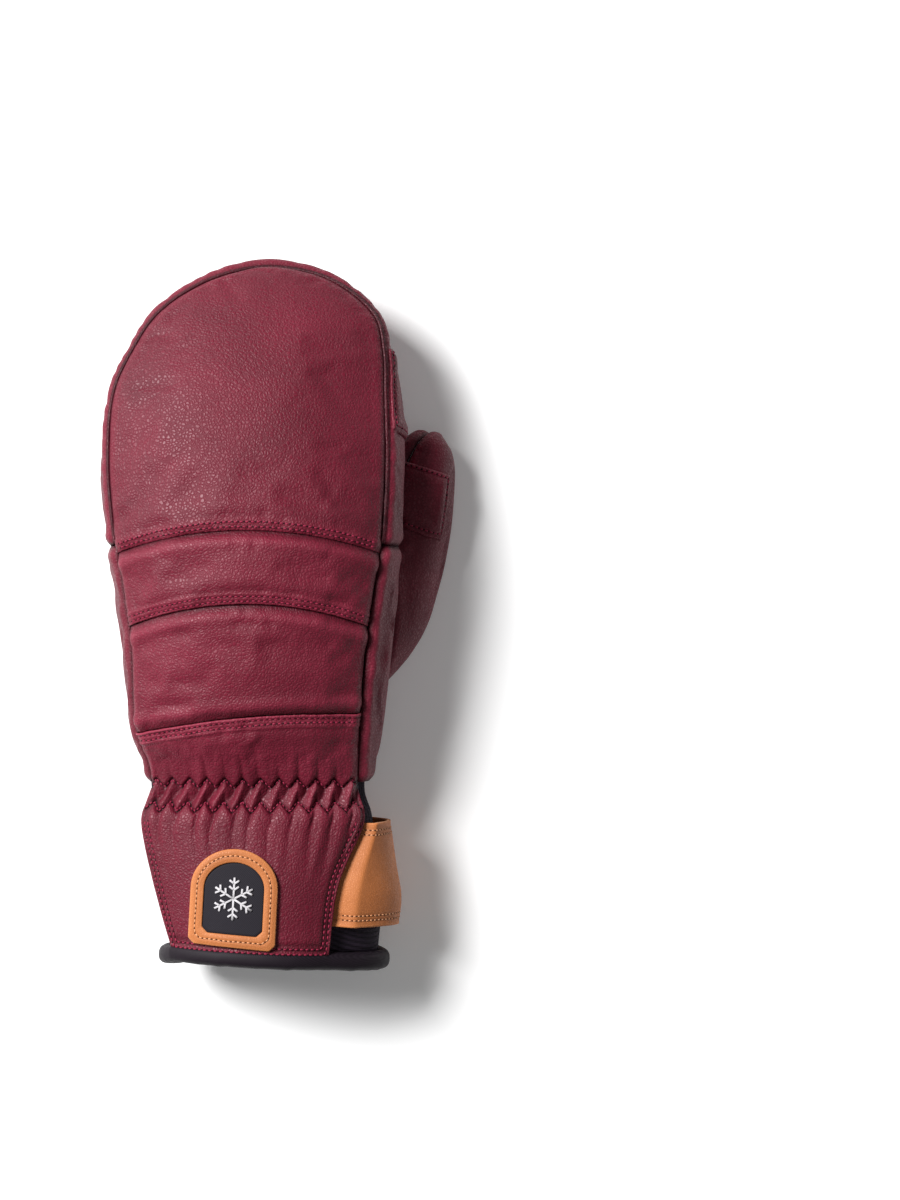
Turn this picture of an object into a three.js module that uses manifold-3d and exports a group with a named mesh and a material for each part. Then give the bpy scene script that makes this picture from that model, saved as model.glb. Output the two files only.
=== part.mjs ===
// A ski mitten for the left hand, lying palm down: a leather shell sewn from panels, a padded lining,
// and an elastic cuff closed by a hook-and-loop strap. Millimetres; +X to the thumb side, +Y to the
// fingertips, +Z up.
import * as THREE from "three";
import { mergeVertices } from "three/addons/utils/BufferGeometryUtils.js";
import Module from "manifold-3d";

// ---- driving dimensions -------------------------------------------------------------------------
const HAND_LENGTH = 211; // gathered wrist to fingertip
const HAND_WIDTH = 120; // across the knuckles, without the thumb
const HAND_HEIGHT = 72; // padded hand, from the table to the top of the knuckles
const CUFF_LENGTH = 71; // gathered wrist to the cuff's mouth
const CUFF_WIDTH = 92;
const CUFF_HEIGHT = 57;
const THUMB_LENGTH = 122;
const THUMB_WIDTH = 36;

const LEATHER = 1.2;
const WADDING = 3.2; // insulation of the back
const PALM_WADDING = 2.2;
const FOAM = 3; // knuckle pads
const LINING = 1.6;
const NEOPRENE = 3;
const ELASTIC_THICK = 1.2;
const ELASTIC_WIDTH = 14;
const STRAP_THICK = 1.4;
const HOOK_THICK = 1.1;
const STRAP_WIDTH = 41;
const BINDING_WIDTH = 6;
const PLY_GAP = 0.3; // between a patch and the leather under it
const LAYER_EASE = 0.8; // between the layers of the padded body, which bend round one another
const SEAM_GAP = 0.4; // between two panels that meet at a seam

const SEAM_KNUCKLE_TOP = 95; // the three seams across the back, from the wrist line
const SEAM_KNUCKLE_MID = 66;
const SEAM_KNUCKLE_LOW = 24;
const SEAM_ARCH = 9;
const SEAM_LOW_ARCH = 8;
const GUSSET_JOIN = 98; // where the fingertip gusset meets the side gussets
const PALM_FLAP = 41; // the palm leather's tongue past the wrist
const PALM_FLAP_SIDE = 11;
const SLEEVE_OVERLAP = 14; // the neoprene's reach into the hand past the wrist
const STRAP_FROM_WRIST = 12;
const BADGE_WIDTH = 34;
const BADGE_HEIGHT = 39;
const BADGE_MARGIN = 5.2;
const BADGE_LEFT = 15; // the badge's centre, to the left of the wrist's centre
const BADGE_FROM_WRIST = 41;
const PULL_STRIP_WIDTH = 23;

// ---- the last: rows across the mitten, drawn for one size and graded by the dimensions above -----
const DRAWN = {
  handLength: 211, handWidth: 120, handHeight: 72, cuffLength: 71, cuffWidth: 92, cuffHeight: 57,
};
const CUFF_ROWS = 3;
const WRIST_ROWS = 2; // rows at the wrist, wide as the cuff and long as the hand

// Each row: the back seam's left and right points, the palm seam's left and right points, the height of
// the crown between the back seams and of the belly between the palm seams, and how far each side bulges.
const rows = [
  [[-41, -61, 44], [22, -64, 49], [-42, -62, 14], [35, -62, 14], 57, 3, [5, 16]],
  [[-48, -36, 44], [26, -36, 50], [-47, -36, 15], [37, -36, 15], 57, 3, [4, 15]],
  [[-53, -12, 43], [36, -12, 46], [-49, -12, 16], [38, -12, 18], 55, 5, [3, 6]],
  [[-50, 0, 41], [34, 0, 44], [-46, 0, 18], [36, 0, 22], 51, 8, [3, 4]],
  [[-51, 12, 44], [34.5, 12, 47], [-48, 12, 18], [38, 12, 24], 56, 8, [3, 4]],
  [[-55.5, 28, 50], [35, 28, 52], [-53, 28, 16], [40, 28, 26], 63, 8, [3.5, 6]],
  [[-57.3, 65, 54], [38.4, 65, 57], [-56, 65, 14], [43, 65, 29], 70, 6, [5, 7]],
  [[-63, 100, 54], [43.8, 100, 58], [-61, 100, 12], [45, 100, 29], 72, 3, [5, 6.5]],
  [[-66, 132, 51], [45.5, 132, 54], [-63, 132, 10], [45, 132, 24], 68, -2, [4.5, 6.5]],
  [[-64.5, 158, 47], [45, 158, 48], [-58, 154, 8], [41.5, 154, 16], 61, -3, [4.5, 6]],
  [[-57.5, 176, 43], [44.5, 176, 44], [-49, 171, 7], [35, 171, 11], 54, -3, [5, 6]],
  [[-46, 193, 39], [40, 192, 39], [-36, 185, 7], [25, 184, 9], 46, -1, [6, 6.5]],
  [[-26, 206, 35], [22, 206, 35], [-21, 193.5, 7.5], [10, 192.5, 8.5], 38, 4, [7.5, 7.5]],
  [[-2.5, 211, 33], [-2.5, 211, 33], [-5.5, 197, 8], [-5.5, 197, 8], 33, 8, [8.5, 8.5]],
].map(([backL, backR, palmL, palmR, crown, belly, out]) => ({ backL, backR, palmL, palmR, crown, belly, out }));
const TIP = rows.length - 1;
const BELLY_SKEW = 0.4; // the belly hangs lowest towards the little finger
const BACK_FULLNESS = 2.3;
const PALM_FULLNESS = 2.5;

const lengthScale = (k) => (k < CUFF_ROWS ? CUFF_LENGTH / DRAWN.cuffLength : HAND_LENGTH / DRAWN.handLength);
const isCuffRow = (k) => k < CUFF_ROWS + WRIST_ROWS;
const widthScale = (k) => (isCuffRow(k) ? CUFF_WIDTH / DRAWN.cuffWidth : HAND_WIDTH / DRAWN.handWidth);
const heightScale = (k) => (isCuffRow(k) ? CUFF_HEIGHT / DRAWN.cuffHeight : HAND_HEIGHT / DRAWN.handHeight);

const graded = (point, k) =>
  new THREE.Vector3(point[0] * widthScale(k), point[1] * lengthScale(k), point[2] * heightScale(k));

// A seam runs from the cuff up the left side, round the fingertip and down the right side to the cuff.
function seamCurve(left, right) {
  const up = rows.map((row, k) => graded(row[left], k));
  const down = rows.slice(0, TIP).map((row, k) => graded(row[right], k));
  return new THREE.CatmullRomCurve3([...up, ...down.reverse()], false, "catmullrom", 0.5);
}
const backSeam = seamCurve("backL", "backR");
const palmSeam = seamCurve("palmL", "palmR");

const spline = (heights) => {
  const curve = new THREE.SplineCurve(heights.map((h, k) => new THREE.Vector2(k, h)));
  return (v) => curve.getPoint(v).y;
};
const crownAt = spline(rows.map((row, k) => row.crown * heightScale(k)));
const bellyAt = spline(rows.map((row, k) => row.belly * heightScale(k)));
const bulgeLeft = spline(rows.map((row, k) => row.out[0] * widthScale(k)));
const bulgeRight = spline(rows.map((row, k) => row.out[1] * widthScale(k)));

const LEFT = -1;
const RIGHT = 1;
const along = (side, v) => (side === LEFT ? v / 2 : 1 - v / 2);

// Height of a dome that is 0 at both seams and 1 at its peak.
const dome = (u, peak, fullness) => {
  const reach = u < peak ? (peak - u) / peak : (u - peak) / (1 - peak);
  return 1 - Math.pow(reach, fullness);
};

function backPoint(u, v) {
  const point = backSeam.getPoint(along(LEFT, v)).lerp(backSeam.getPoint(along(RIGHT, v)), u);
  const middle = (backSeam.getPoint(along(LEFT, v)).z + backSeam.getPoint(along(RIGHT, v)).z) / 2;
  point.z += (crownAt(v) - middle) * dome(u, 0.5, BACK_FULLNESS);
  return point;
}

function palmPoint(u, v) {
  const left = palmSeam.getPoint(along(LEFT, v));
  const right = palmSeam.getPoint(along(RIGHT, v));
  const point = left.clone().lerp(right, u);
  const middle = left.z + (right.z - left.z) * BELLY_SKEW;
  point.z += (bellyAt(v) - middle) * dome(u, BELLY_SKEW, PALM_FULLNESS);
  point.z = Math.max(point.z, 0); // flat where it rests on a table
  return point;
}

// The side between the back seam (t = 0) and the palm seam (t = 1), bulging away from the hand.
function sidePoint(side, t, v) {
  const p = along(side, v);
  const top = backSeam.getPoint(p);
  const low = palmSeam.getPoint(p);
  const travel = backSeam.getTangent(p);
  const outward = new THREE.Vector3(-travel.y, travel.x, 0).normalize();
  const bulge = side === LEFT ? bulgeLeft(v) : bulgeRight(v);
  const control = top.clone().add(low).multiplyScalar(0.5).addScaledVector(outward, 2 * bulge);
  return new THREE.QuadraticBezierCurve3(top, control, low).getPoint(t);
}

// Once round the mitten: 0 to 1 across the back, 1 to 2 down the thumb side, 2 to 3 across the palm
// from the thumb side, 3 to 4 up the little finger's side.
function bodySurface(turn, v) {
  const w = ((turn % 4) + 4) % 4;
  if (w < 1) return backPoint(w, v);
  if (w < 2) return sidePoint(RIGHT, w - 1, v);
  if (w < 3) return palmPoint(3 - w, v);
  return sidePoint(LEFT, 4 - w, v);
}

// The way out of the mitten at a point of its surface, the same for every panel that meets there.
const TIP_CENTRE = 0.8; // share of the hand's length where the rounding of the fingertips begins
function outwardAt(point, v) {
  const backL = backSeam.getPoint(along(LEFT, v));
  const backR = backSeam.getPoint(along(RIGHT, v));
  const nearTip = Math.min(v, (TIP - 1.5) / TIP);
  const wideL = backSeam.getPoint(along(LEFT, nearTip)).x - bulgeLeft(nearTip);
  const wideR = Math.max(backSeam.getPoint(along(RIGHT, nearTip)).x, palmSeam.getPoint(along(RIGHT, nearTip)).x);
  const centreX = (wideL + wideR + bulgeRight(nearTip) * 0.7) / 2;
  const halfX = (wideR - wideL) / 2 + 4;
  const centreZ = (crownAt(nearTip) + bellyAt(nearTip)) / 2;
  const halfZ = (crownAt(nearTip) - bellyAt(nearTip)) / 2 + 2;
  const tipY = TIP_CENTRE * HAND_LENGTH;
  const halfY = HAND_LENGTH - tipY + 6;
  const reachY = Math.max(0, (backL.y + backR.y) / 2 > tipY ? point.y - tipY : 0);
  return new THREE.Vector3(
    (point.x - centreX) / halfX ** 2,
    reachY / halfY ** 2,
    (point.z - centreZ) / halfZ ** 2,
  ).normalize();
}

function bodyPoint(turn, v, depth) {
  const point = bodySurface(turn, v);
  return point.addScaledVector(outwardAt(point, v), -depth);
}

// The row at which the surface, at that turn, is that far from the wrist line.
function rowAt(turn, y) {
  let low = 0;
  let high = 1;
  for (let step = 0; step < 30; step++) {
    const middle = (low + high) / 2;
    if (bodySurface(turn, middle).y < y) low = middle;
    else high = middle;
  }
  return (low + high) / 2;
}

// ---- the thumb: sections along a bent axis ------------------------------------------------------
const THUMB_DRAWN = { length: 122, width: 36 };
const thumbRoot = new THREE.Vector3(17, 36, 26);
const thumbSections = [
  { at: [0, 0, 0], half: [28, 17] },
  { at: [10, 18, -6], half: [28, 18] },
  { at: [23, 44, -10], half: [24, 16.5] },
  { at: [33.5, 68, -12.5], half: [18.5, 13.4] },
  { at: [38.5, 86, -12.5], half: [16, 13] },
  { at: [42.5, 99, -12.5], half: [12.5, 11.5] },
  { at: [44.5, 106.5, -12], half: [7.5, 8] },
  { at: [45.3, 110, -12], half: [0.6, 0.8] },
];
const thumbScale = THUMB_LENGTH / THUMB_DRAWN.length;
const girthScale = THUMB_WIDTH / THUMB_DRAWN.width;
const palmRise = HAND_HEIGHT / DRAWN.handHeight;
const thumbCentres = new THREE.CatmullRomCurve3(
  thumbSections.map(({ at }) => new THREE.Vector3(
    (thumbRoot.x * HAND_WIDTH) / DRAWN.handWidth + at[0] * thumbScale,
    (thumbRoot.y * HAND_LENGTH) / DRAWN.handLength + at[1] * thumbScale,
    thumbRoot.z * palmRise + at[2] * palmRise,
  )),
);
const thumbHalfWidth = spline(thumbSections.map(({ half }) => half[0] * girthScale));
const thumbHalfHeight = spline(thumbSections.map(({ half }) => half[1] * palmRise));

// The root narrows as it goes into the hand, up to this share of the thumb's axis.
const ROOT_NARROW = 0.55;
const ROOT_REACH = 0.3;
const rootShare = (s) => THREE.MathUtils.lerp(ROOT_NARROW, 1, THREE.MathUtils.smoothstep(s, 0.02, ROOT_REACH));

// angle 0 is the outer side, a quarter turn is up.
function thumbPoint(angle, s, depth) {
  const centre = thumbCentres.getPoint(s);
  const travel = thumbCentres.getTangent(s);
  const aside = new THREE.Vector3(travel.y, -travel.x, 0).normalize();
  const wide = Math.max(thumbHalfWidth(s) * rootShare(s) - depth, 0.05);
  const high = Math.max(thumbHalfHeight(s) - depth, 0.05);
  const shorten = depth > 0 ? Math.max(0, s - 0.8) * 5 * depth : 0;
  centre.addScaledVector(travel, -shorten);
  const point = centre.addScaledVector(aside, wide * Math.cos(angle));
  point.z = Math.max(point.z + high * Math.sin(angle), depth);
  return point;
}

// ---- turning surfaces into closed solids --------------------------------------------------------
const MERGE_MM = 1e-3;

function signedVolume(positions, index) {
  const corner = (i) => new THREE.Vector3().fromArray(positions, 3 * i);
  let volume = 0;
  for (let i = 0; i < index.length; i += 3) {
    const [a, b, c] = [corner(index[i]), corner(index[i + 1]), corner(index[i + 2])];
    volume += a.dot(b.cross(c)) / 6;
  }
  return volume;
}

function closedGeometry(positions, corners) {
  const soup = new THREE.BufferGeometry();
  soup.setAttribute("position", new THREE.Float32BufferAttribute(positions, 3));
  soup.setIndex(corners);
  const geometry = mergeVertices(soup, MERGE_MM);
  const merged = geometry.index.array;
  const index = [];
  for (let i = 0; i < merged.length; i += 3) {
    const [a, b, c] = [merged[i], merged[i + 1], merged[i + 2]];
    if (a !== b && b !== c && c !== a) index.push(a, b, c);
  }
  if (signedVolume(geometry.attributes.position.array, index) < 0) index.reverse();
  geometry.setIndex(index);
  return geometry;
}

// A sheet over a grid: place(a, b, face) gives the point at that share across and along, with face 0 the
// outside and 1 the inside. In a ring the last column is the first. A closed end comes to a point or a line.
function sheet(place, columns, rowCount, { ring = false, closedEnd = false } = {}) {
  const across = ring ? columns : columns + 1;
  const positions = [];
  for (const face of [0, 1])
    for (let j = 0; j <= rowCount; j++)
      for (let i = 0; i < across; i++) positions.push(...place(i / columns, j / rowCount, face).toArray());
  const at = (i, j, face) => face * across * (rowCount + 1) + j * across + (i % across);
  const index = [];
  const quad = (p, q, r, s) => index.push(p, q, r, p, r, s);
  for (let j = 0; j < rowCount; j++)
    for (let i = 0; i < columns; i++) {
      quad(at(i, j, 0), at(i + 1, j, 0), at(i + 1, j + 1, 0), at(i, j + 1, 0));
      quad(at(i, j, 1), at(i, j + 1, 1), at(i + 1, j + 1, 1), at(i + 1, j, 1));
    }
  for (let i = 0; i < columns; i++) {
    quad(at(i, 0, 0), at(i, 0, 1), at(i + 1, 0, 1), at(i + 1, 0, 0));
    if (!closedEnd)
      quad(at(i, rowCount, 0), at(i + 1, rowCount, 0), at(i + 1, rowCount, 1), at(i, rowCount, 1));
  }
  if (!ring)
    for (let j = 0; j < rowCount; j++) {
      quad(at(0, j, 0), at(0, j + 1, 0), at(0, j + 1, 1), at(0, j, 1));
      quad(at(columns, j, 0), at(columns, j, 1), at(columns, j + 1, 1), at(columns, j + 1, 0));
    }
  return closedGeometry(positions, index);
}

// A whole body inside one surface, for cutting: rings from an open end to a tip, each capped when it is open.
function plug(place, columns, rowCount, caps) {
  const positions = [];
  for (let j = 0; j <= rowCount; j++)
    for (let i = 0; i < columns; i++) positions.push(...place(i / columns, j / rowCount).toArray());
  const index = [];
  for (let i = 0; i < columns; i++)
    for (let j = 0; j < rowCount; j++) {
      const [low, next] = [j * columns, (i + 1) % columns];
      index.push(low + i, low + next, low + columns + next, low + i, low + columns + next, low + columns + i);
    }
  for (const row of caps) {
    const centre = new THREE.Vector3();
    for (let i = 0; i < columns; i++) centre.addScaledVector(place(i / columns, row), 1 / columns);
    const middle = positions.length / 3;
    positions.push(...centre.toArray());
    const ring = row * rowCount * columns;
    for (let i = 0; i < columns; i++) {
      const [here, next] = [ring + i, ring + ((i + 1) % columns)];
      index.push(...(row ? [middle, here, next] : [middle, next, here]));
    }
  }
  return closedGeometry(positions, index);
}

const wasm = await Module();
wasm.setup();

function solidOf(geometry) {
  const mesh = new wasm.Mesh({
    numProp: 3,
    vertProperties: new Float32Array(geometry.attributes.position.array),
    triVerts: new Uint32Array(geometry.index.array),
  });
  return new wasm.Manifold(mesh);
}

function geometryOf(solid) {
  const mesh = solid.getMesh();
  const geometry = new THREE.BufferGeometry();
  geometry.setAttribute("position", new THREE.BufferAttribute(mesh.vertProperties, 3));
  geometry.setIndex(new THREE.BufferAttribute(mesh.triVerts, 1));
  return geometry;
}

// What is left of a piece once the cutter is taken away, without any crumb that the cut leaves.
function cut(geometry, ...cutters) {
  const left = cutters.reduce((solid, cutter) => solid.subtract(cutter), solidOf(geometry));
  const pieces = left.decompose().sort((a, b) => b.volume() - a.volume());
  return geometryOf(pieces[0]);
}

// ---- layers, as depths below the leather's outer face --------------------------------------------
const SHELL = [0, LEATHER];
const under = (layer, thickness) => [layer[1] + LAYER_EASE, layer[1] + LAYER_EASE + thickness];
const POCKET = under(SHELL, ELASTIC_THICK); // the elastics and the strap's root
const SLEEVE = under(POCKET, NEOPRENE);
const PADS = under(SHELL, FOAM);
const BACK_WADDING = under(PADS, WADDING);
const PALM_WAD = under(SHELL, PALM_WADDING);
const LINING_BACK = Math.max(BACK_WADDING[1], SLEEVE[1]) + LAYER_EASE;
const LINING_PALM = Math.max(PALM_WAD[1], SLEEVE[1]) + LAYER_EASE;
const OUTSIDE = [-PLY_GAP - 1, -PLY_GAP]; // patches sewn on top of the shell

const mix = THREE.MathUtils.lerp;
const arch = (u, rise) => rise * (1 - (2 * u - 1) ** 2);
const half = SEAM_GAP / 2;

const PANEL_END = 1 - 0.4 / TIP; // panels stop just short of the point where the two sides meet

// A panel of the body between two turns and two distances from the wrist, at a pair of depths.
function panel({ turns, from, to, depths, columns, rowCount, side = half }) {
  const width = bodySurface(turns[0], 0.5).distanceTo(bodySurface(turns[1], 0.5));
  const inset = side / width;
  const span = Math.abs(turns[1] - turns[0]);
  const first = turns[0] + inset * span;
  const last = turns[1] - inset * span;
  return sheet((a, b, face) => {
    const turn = mix(first, last, a);
    const low = rowAt(turn, from(turn) + half);
    const reach = to(turn);
    const high = reach === Infinity ? PANEL_END : rowAt(turn, reach - half);
    return bodyPoint(turn, mix(low, high, b), depths[face]);
  }, columns, rowCount);
}

const seamTop = (u) => SEAM_KNUCKLE_TOP + arch(u, SEAM_ARCH);
const seamMid = (u) => SEAM_KNUCKLE_MID + arch(u, SEAM_ARCH);
const seamLow = (u) => SEAM_KNUCKLE_LOW + SEAM_LOW_ARCH * Math.sin((Math.PI / 2) * Math.min(1, u * 1.3));
const mouth = (turn) => bodySurface(turn, 0).y;

function backFingerPanel() {
  return panel({ turns: [0, 1], from: seamTop, to: () => Infinity, depths: SHELL, columns: 12, rowCount: 10 });
}

function knuckleBand(low, high, depths = SHELL, side = half) {
  return panel({ turns: [0, 1], from: low, to: high, depths, columns: 12, rowCount: 3, side });
}

function knucklePad(low, high) {
  const shy = 3; // the pad stops short of the stitching round it
  return panel({
    turns: [0, 1], from: (u) => low(u) + shy, to: (u) => high(u) - shy, depths: PADS, columns: 8, rowCount: 2, side: shy,
  });
}

function backCuffPanel() {
  return panel({ turns: [0, 1], from: mouth, to: seamLow, depths: SHELL, columns: 12, rowCount: 10 });
}

const GUSSET_DEPTH = 35; // about, from the back seam to the palm seam
const GUSSET_EDGE = half / GUSSET_DEPTH;
const WRIST_END = 4; // the side gussets stop just short of the gathered wrist

// The fingertip gusset and the side gussets run along the seam: share 0 is the little finger's end.
function fingertipGusset() {
  const ends = [rowAt(3.5, GUSSET_JOIN + half), rowAt(1.5, GUSSET_JOIN + half)];
  return sheet((a, b, face) => {
    const t = mix(GUSSET_EDGE, 1 - GUSSET_EDGE, b);
    const turn = a < 0.5 ? 4 - t : 1 + t;
    const v = a < 0.5 ? mix(ends[0], 1, 2 * a) : mix(1, ends[1], 2 * a - 1);
    return bodyPoint(turn, v, SHELL[face]);
  }, 40, 4);
}

function sideGusset(turnAt, middle) {
  const low = rowAt(middle, WRIST_END);
  const high = rowAt(middle, GUSSET_JOIN - half);
  return sheet((a, b, face) => {
    const turn = turnAt(mix(GUSSET_EDGE, 1 - GUSSET_EDGE, a));
    return bodyPoint(turn, mix(low, high, b), SHELL[face]);
  }, 4, 8);
}
// The palm ends in a rounded tongue over the cuff.
function palmPanel() {
  const roundness = 0.8;
  const tongue = (turn) =>
    -PALM_FLAP_SIDE - (PALM_FLAP - PALM_FLAP_SIDE) * Math.sin(Math.PI * (turn - 2)) ** roundness;
  return panel({ turns: [2, 3], from: tongue, to: () => Infinity, depths: SHELL, columns: 14, rowCount: 18 });
}

// The patch over the index finger's side, from the back seam round to the palm.
const INDEX_PATCH = { turns: [1.06, 2.2], low: 144, lowFall: 8, high: 177, highFall: 13 };

function indexPatch() {
  const { turns, low: lowEdge, lowFall, high: highEdge, highFall } = INDEX_PATCH;
  return sheet((a, b, face) => {
    const turn = mix(turns[0], turns[1], a);
    const low = rowAt(turn, lowEdge - lowFall * a);
    const high = rowAt(turn, highEdge - highFall * a ** 2);
    return bodyPoint(turn, mix(low, high, b), OUTSIDE[1 - face]);
  }, 12, 6);
}

// ---- the padded lining --------------------------------------------------------------------------
const WADDING_START = SLEEVE_OVERLAP + 1;
const WADDING_END = 1 - 0.9 / TIP;
const WADDING_INSET = 0.03; // share of the panel that the wadding leaves free at each seam
const smooth = THREE.MathUtils.smoothstep;

function wadding(turns, depthAt, columns) {
  return sheet((a, b, face) => {
    const turn = mix(turns[0] + WADDING_INSET, turns[1] - WADDING_INSET, a);
    const v = mix(rowAt(turn, WADDING_START), WADDING_END, b);
    return bodyPoint(turn, v, depthAt(v, face));
  }, columns, 12);
}

function backWadding() {
  const padsEnd = SEAM_KNUCKLE_TOP + SEAM_ARCH; // past it the wadding rises to lie against the leather
  const ramp = 10;
  const pads = [rowAt(0.5, padsEnd), rowAt(0.5, padsEnd + ramp)];
  const depthAt = (v, face) =>
    face ? BACK_WADDING[1] : mix(BACK_WADDING[0], PADS[0], smooth(v, pads[0], pads[1]));
  return wadding([0, 1], depthAt, 10);
}

const palmWadding = () => wadding([2, 3], (v, face) => PALM_WAD[face], 10);

// The lining is deeper under the back, which has the thicker wadding, than under the palm.
function liningDepth(turn) {
  const w = turn % 4;
  if (w <= 1) return LINING_BACK;
  if (w <= 2) return mix(LINING_BACK, LINING_PALM, w - 1);
  if (w <= 3) return LINING_PALM;
  return mix(LINING_PALM, LINING_BACK, w - 3);
}

const LINING_START = 0.004;

function handLining() {
  return sheet((a, b, face) => {
    const turn = 4 * a;
    const depth = liningDepth(turn) + face * LINING;
    return bodyPoint(turn, mix(LINING_START, 1, b), depth);
  }, 24, 16, { ring: true, closedEnd: true });
}
// ---- the cuff -----------------------------------------------------------------------------------
const MOUTH = 0.002; // the row at which the sleeve and the pull strip start

function cuffSleeve() {
  return sheet((a, b, face) => {
    const turn = 4 * a;
    return bodyPoint(turn, mix(MOUTH, rowAt(turn, SLEEVE_OVERLAP), b), SLEEVE[face]);
  }, 28, 7, { ring: true });
}

// The binding rolls over the end of the sleeve, the leather and the lining, whose depth differs round the cuff.
const BINDING_PROUD = 0.6;
const bindingDepth = (turn, share) => mix(-BINDING_PROUD, liningDepth(turn) + LINING + BINDING_PROUD, share);

function cuffBinding() {
  // Each stop of the rounded edge: the share of the depth, and the share of the width it is short by.
  const round = [[0, 0.28], [0.12, 0.1], [0.3, 0], [0.7, 0], [0.88, 0.1], [1, 0.28]];
  return sheet((a, b, face) => {
    const turn = 4 * a;
    const step = Math.round(b * (round.length - 1));
    const [share, edge] = round[step];
    const point = bodyPoint(turn, 0, bindingDepth(turn, share));
    point.y -= face ? PLY_GAP : PLY_GAP + BINDING_WIDTH * (1 - edge);
    return point;
  }, 28, round.length - 1, { ring: true });
}

function wristElastic(turns) {
  return sheet((a, b, face) => {
    const turn = mix(turns[0], turns[1], a);
    const v = rowAt(turn, mix(-ELASTIC_WIDTH / 2, ELASTIC_WIDTH / 2, b));
    return bodyPoint(turn, v, POCKET[face]);
  }, 12, 2);
}

// The strap starts under the back leather, wraps the thumb side and closes on the palm side.
const STRAP_ROOT_TURN = 0.84;
const STRAP_OUT_TURN = 1.12; // where it has come out from under the back leather
const STRAP_FOLD_TURN = 1.72; // where the closing tab starts
const TAB_SHORT_TURN = 2.12;
const TAB_LONG_TURN = 2.38;
const strapEdges = [-STRAP_FROM_WRIST - STRAP_WIDTH, -STRAP_FROM_WRIST];
const TAB_DEPTH = -HOOK_THICK - 2 * PLY_GAP; // the tab's inner face, outside the shell

const strapInner = (turn) => {
  const out = smooth(turn, 1, STRAP_OUT_TURN);
  const root = POCKET[0] + STRAP_THICK;
  return mix(root, TAB_DEPTH, out);
};

function strapPart(first, lastAt, columns) {
  return sheet((a, b, face) => {
    const turn = mix(first, lastAt(b), a);
    const v = rowAt(turn, mix(strapEdges[0], strapEdges[1], b));
    return bodyPoint(turn, v, strapInner(turn) - (face ? 0 : STRAP_THICK));
  }, columns, 6);
}

const FOLD_CLEARANCE = 0.016; // share of a side's turn between the two leaves of the fold
const strapBase = () => strapPart(STRAP_ROOT_TURN, () => STRAP_FOLD_TURN - FOLD_CLEARANCE, 14);
const tabEnd = (b) => mix(TAB_LONG_TURN, TAB_SHORT_TURN, b);
const strapTab = () => strapPart(STRAP_FOLD_TURN + FOLD_CLEARANCE, tabEnd, 9);

const HOOK_MARGIN = 3; // of the tab left free beside the hook patch
const HOOK_TURN = 1.95;
const HOOK_SHY = 0.012; // how far the patch stops before the tab's end

function hookPatch() {
  return sheet((a, b, face) => {
    const turn = mix(HOOK_TURN, tabEnd(b) - HOOK_SHY, a);
    const v = rowAt(turn, mix(strapEdges[0] + HOOK_MARGIN, strapEdges[1] - HOOK_MARGIN, b));
    return bodyPoint(turn, v, mix(TAB_DEPTH + PLY_GAP, TAB_DEPTH + PLY_GAP + HOOK_THICK, face));
  }, 6, 4);
}

// The soft loop patch lies on the sleeve, beside the palm leather's tongue.
function loopPatch() {
  const turns = [1.9, 2.3];
  const [low, high] = [strapEdges[0] + 4, strapEdges[0] + 17];
  return sheet((a, b, face) => {
    const turn = mix(turns[0], turns[1], a);
    const v = rowAt(turn, mix(low, high, b));
    return bodyPoint(turn, v, POCKET[face]);
  }, 6, 2);
}

function pullStrip() {
  const tucked = 6; // under the palm's tongue
  const middle = rowAt(2.5, -CUFF_LENGTH * 0.7);
  const width = bodySurface(2, middle).distanceTo(bodySurface(3, middle));
  const centre = 2.52;
  const turns = [centre - PULL_STRIP_WIDTH / width / 2, centre + PULL_STRIP_WIDTH / width / 2];
  return sheet((a, b, face) => {
    const turn = mix(turns[0], turns[1], a);
    const v = mix(MOUTH, rowAt(turn, tucked - PALM_FLAP), b);
    return bodyPoint(turn, v, POCKET[face]);
  }, 6, 4);
}

// ---- the badge ----------------------------------------------------------------------------------
// Its outline has a flat foot and a rounded head towards the hand.
const BADGE_POINTS = 28;

function badgeOutline(margin) {
  const w = BADGE_WIDTH / 2 - margin;
  const foot = -BADGE_HEIGHT / 2 + margin;
  const shoulder = 4;
  const head = BADGE_HEIGHT / 2 - margin - shoulder;
  const outline = new THREE.Shape();
  outline.moveTo(-w, foot);
  outline.lineTo(w, foot);
  outline.lineTo(w, shoulder);
  outline.absellipse(0, shoulder, w, head, 0, Math.PI, false);
  outline.lineTo(-w, foot);
  return outline.getSpacedPoints(BADGE_POINTS).slice(0, BADGE_POINTS);
}
function onBack(x, y, depth) {
  const v = rowAt(0.5, y);
  const left = backSeam.getPoint(along(LEFT, v)).x;
  const right = backSeam.getPoint(along(RIGHT, v)).x;
  return bodyPoint((x - left) / (right - left), v, depth);
}

const badgeDepths = [-PLY_GAP - LEATHER, -PLY_GAP];
const labelDepths = [-PLY_GAP - 0.8, -PLY_GAP];
const badgePlace = (p, depth) => onBack(p.x - BADGE_LEFT, p.y - BADGE_FROM_WRIST, depth);

function badgeFrame() {
  const outer = badgeOutline(0);
  const inner = badgeOutline(BADGE_MARGIN);
  return sheet((a, b, face) => {
    const k = Math.round(a * BADGE_POINTS) % BADGE_POINTS;
    return badgePlace(inner[k].clone().lerp(outer[k], b), badgeDepths[face]);
  }, BADGE_POINTS, 1, { ring: true });
}

function badgeLabel() {
  const edge = badgeOutline(BADGE_MARGIN + 0.3);
  return sheet((a, b, face) => {
    const k = Math.round(a * BADGE_POINTS) % BADGE_POINTS;
    return badgePlace(edge[k].clone().multiplyScalar(1 - b), labelDepths[face]);
  }, BADGE_POINTS, 2, { ring: true, closedEnd: true });
}

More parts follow.
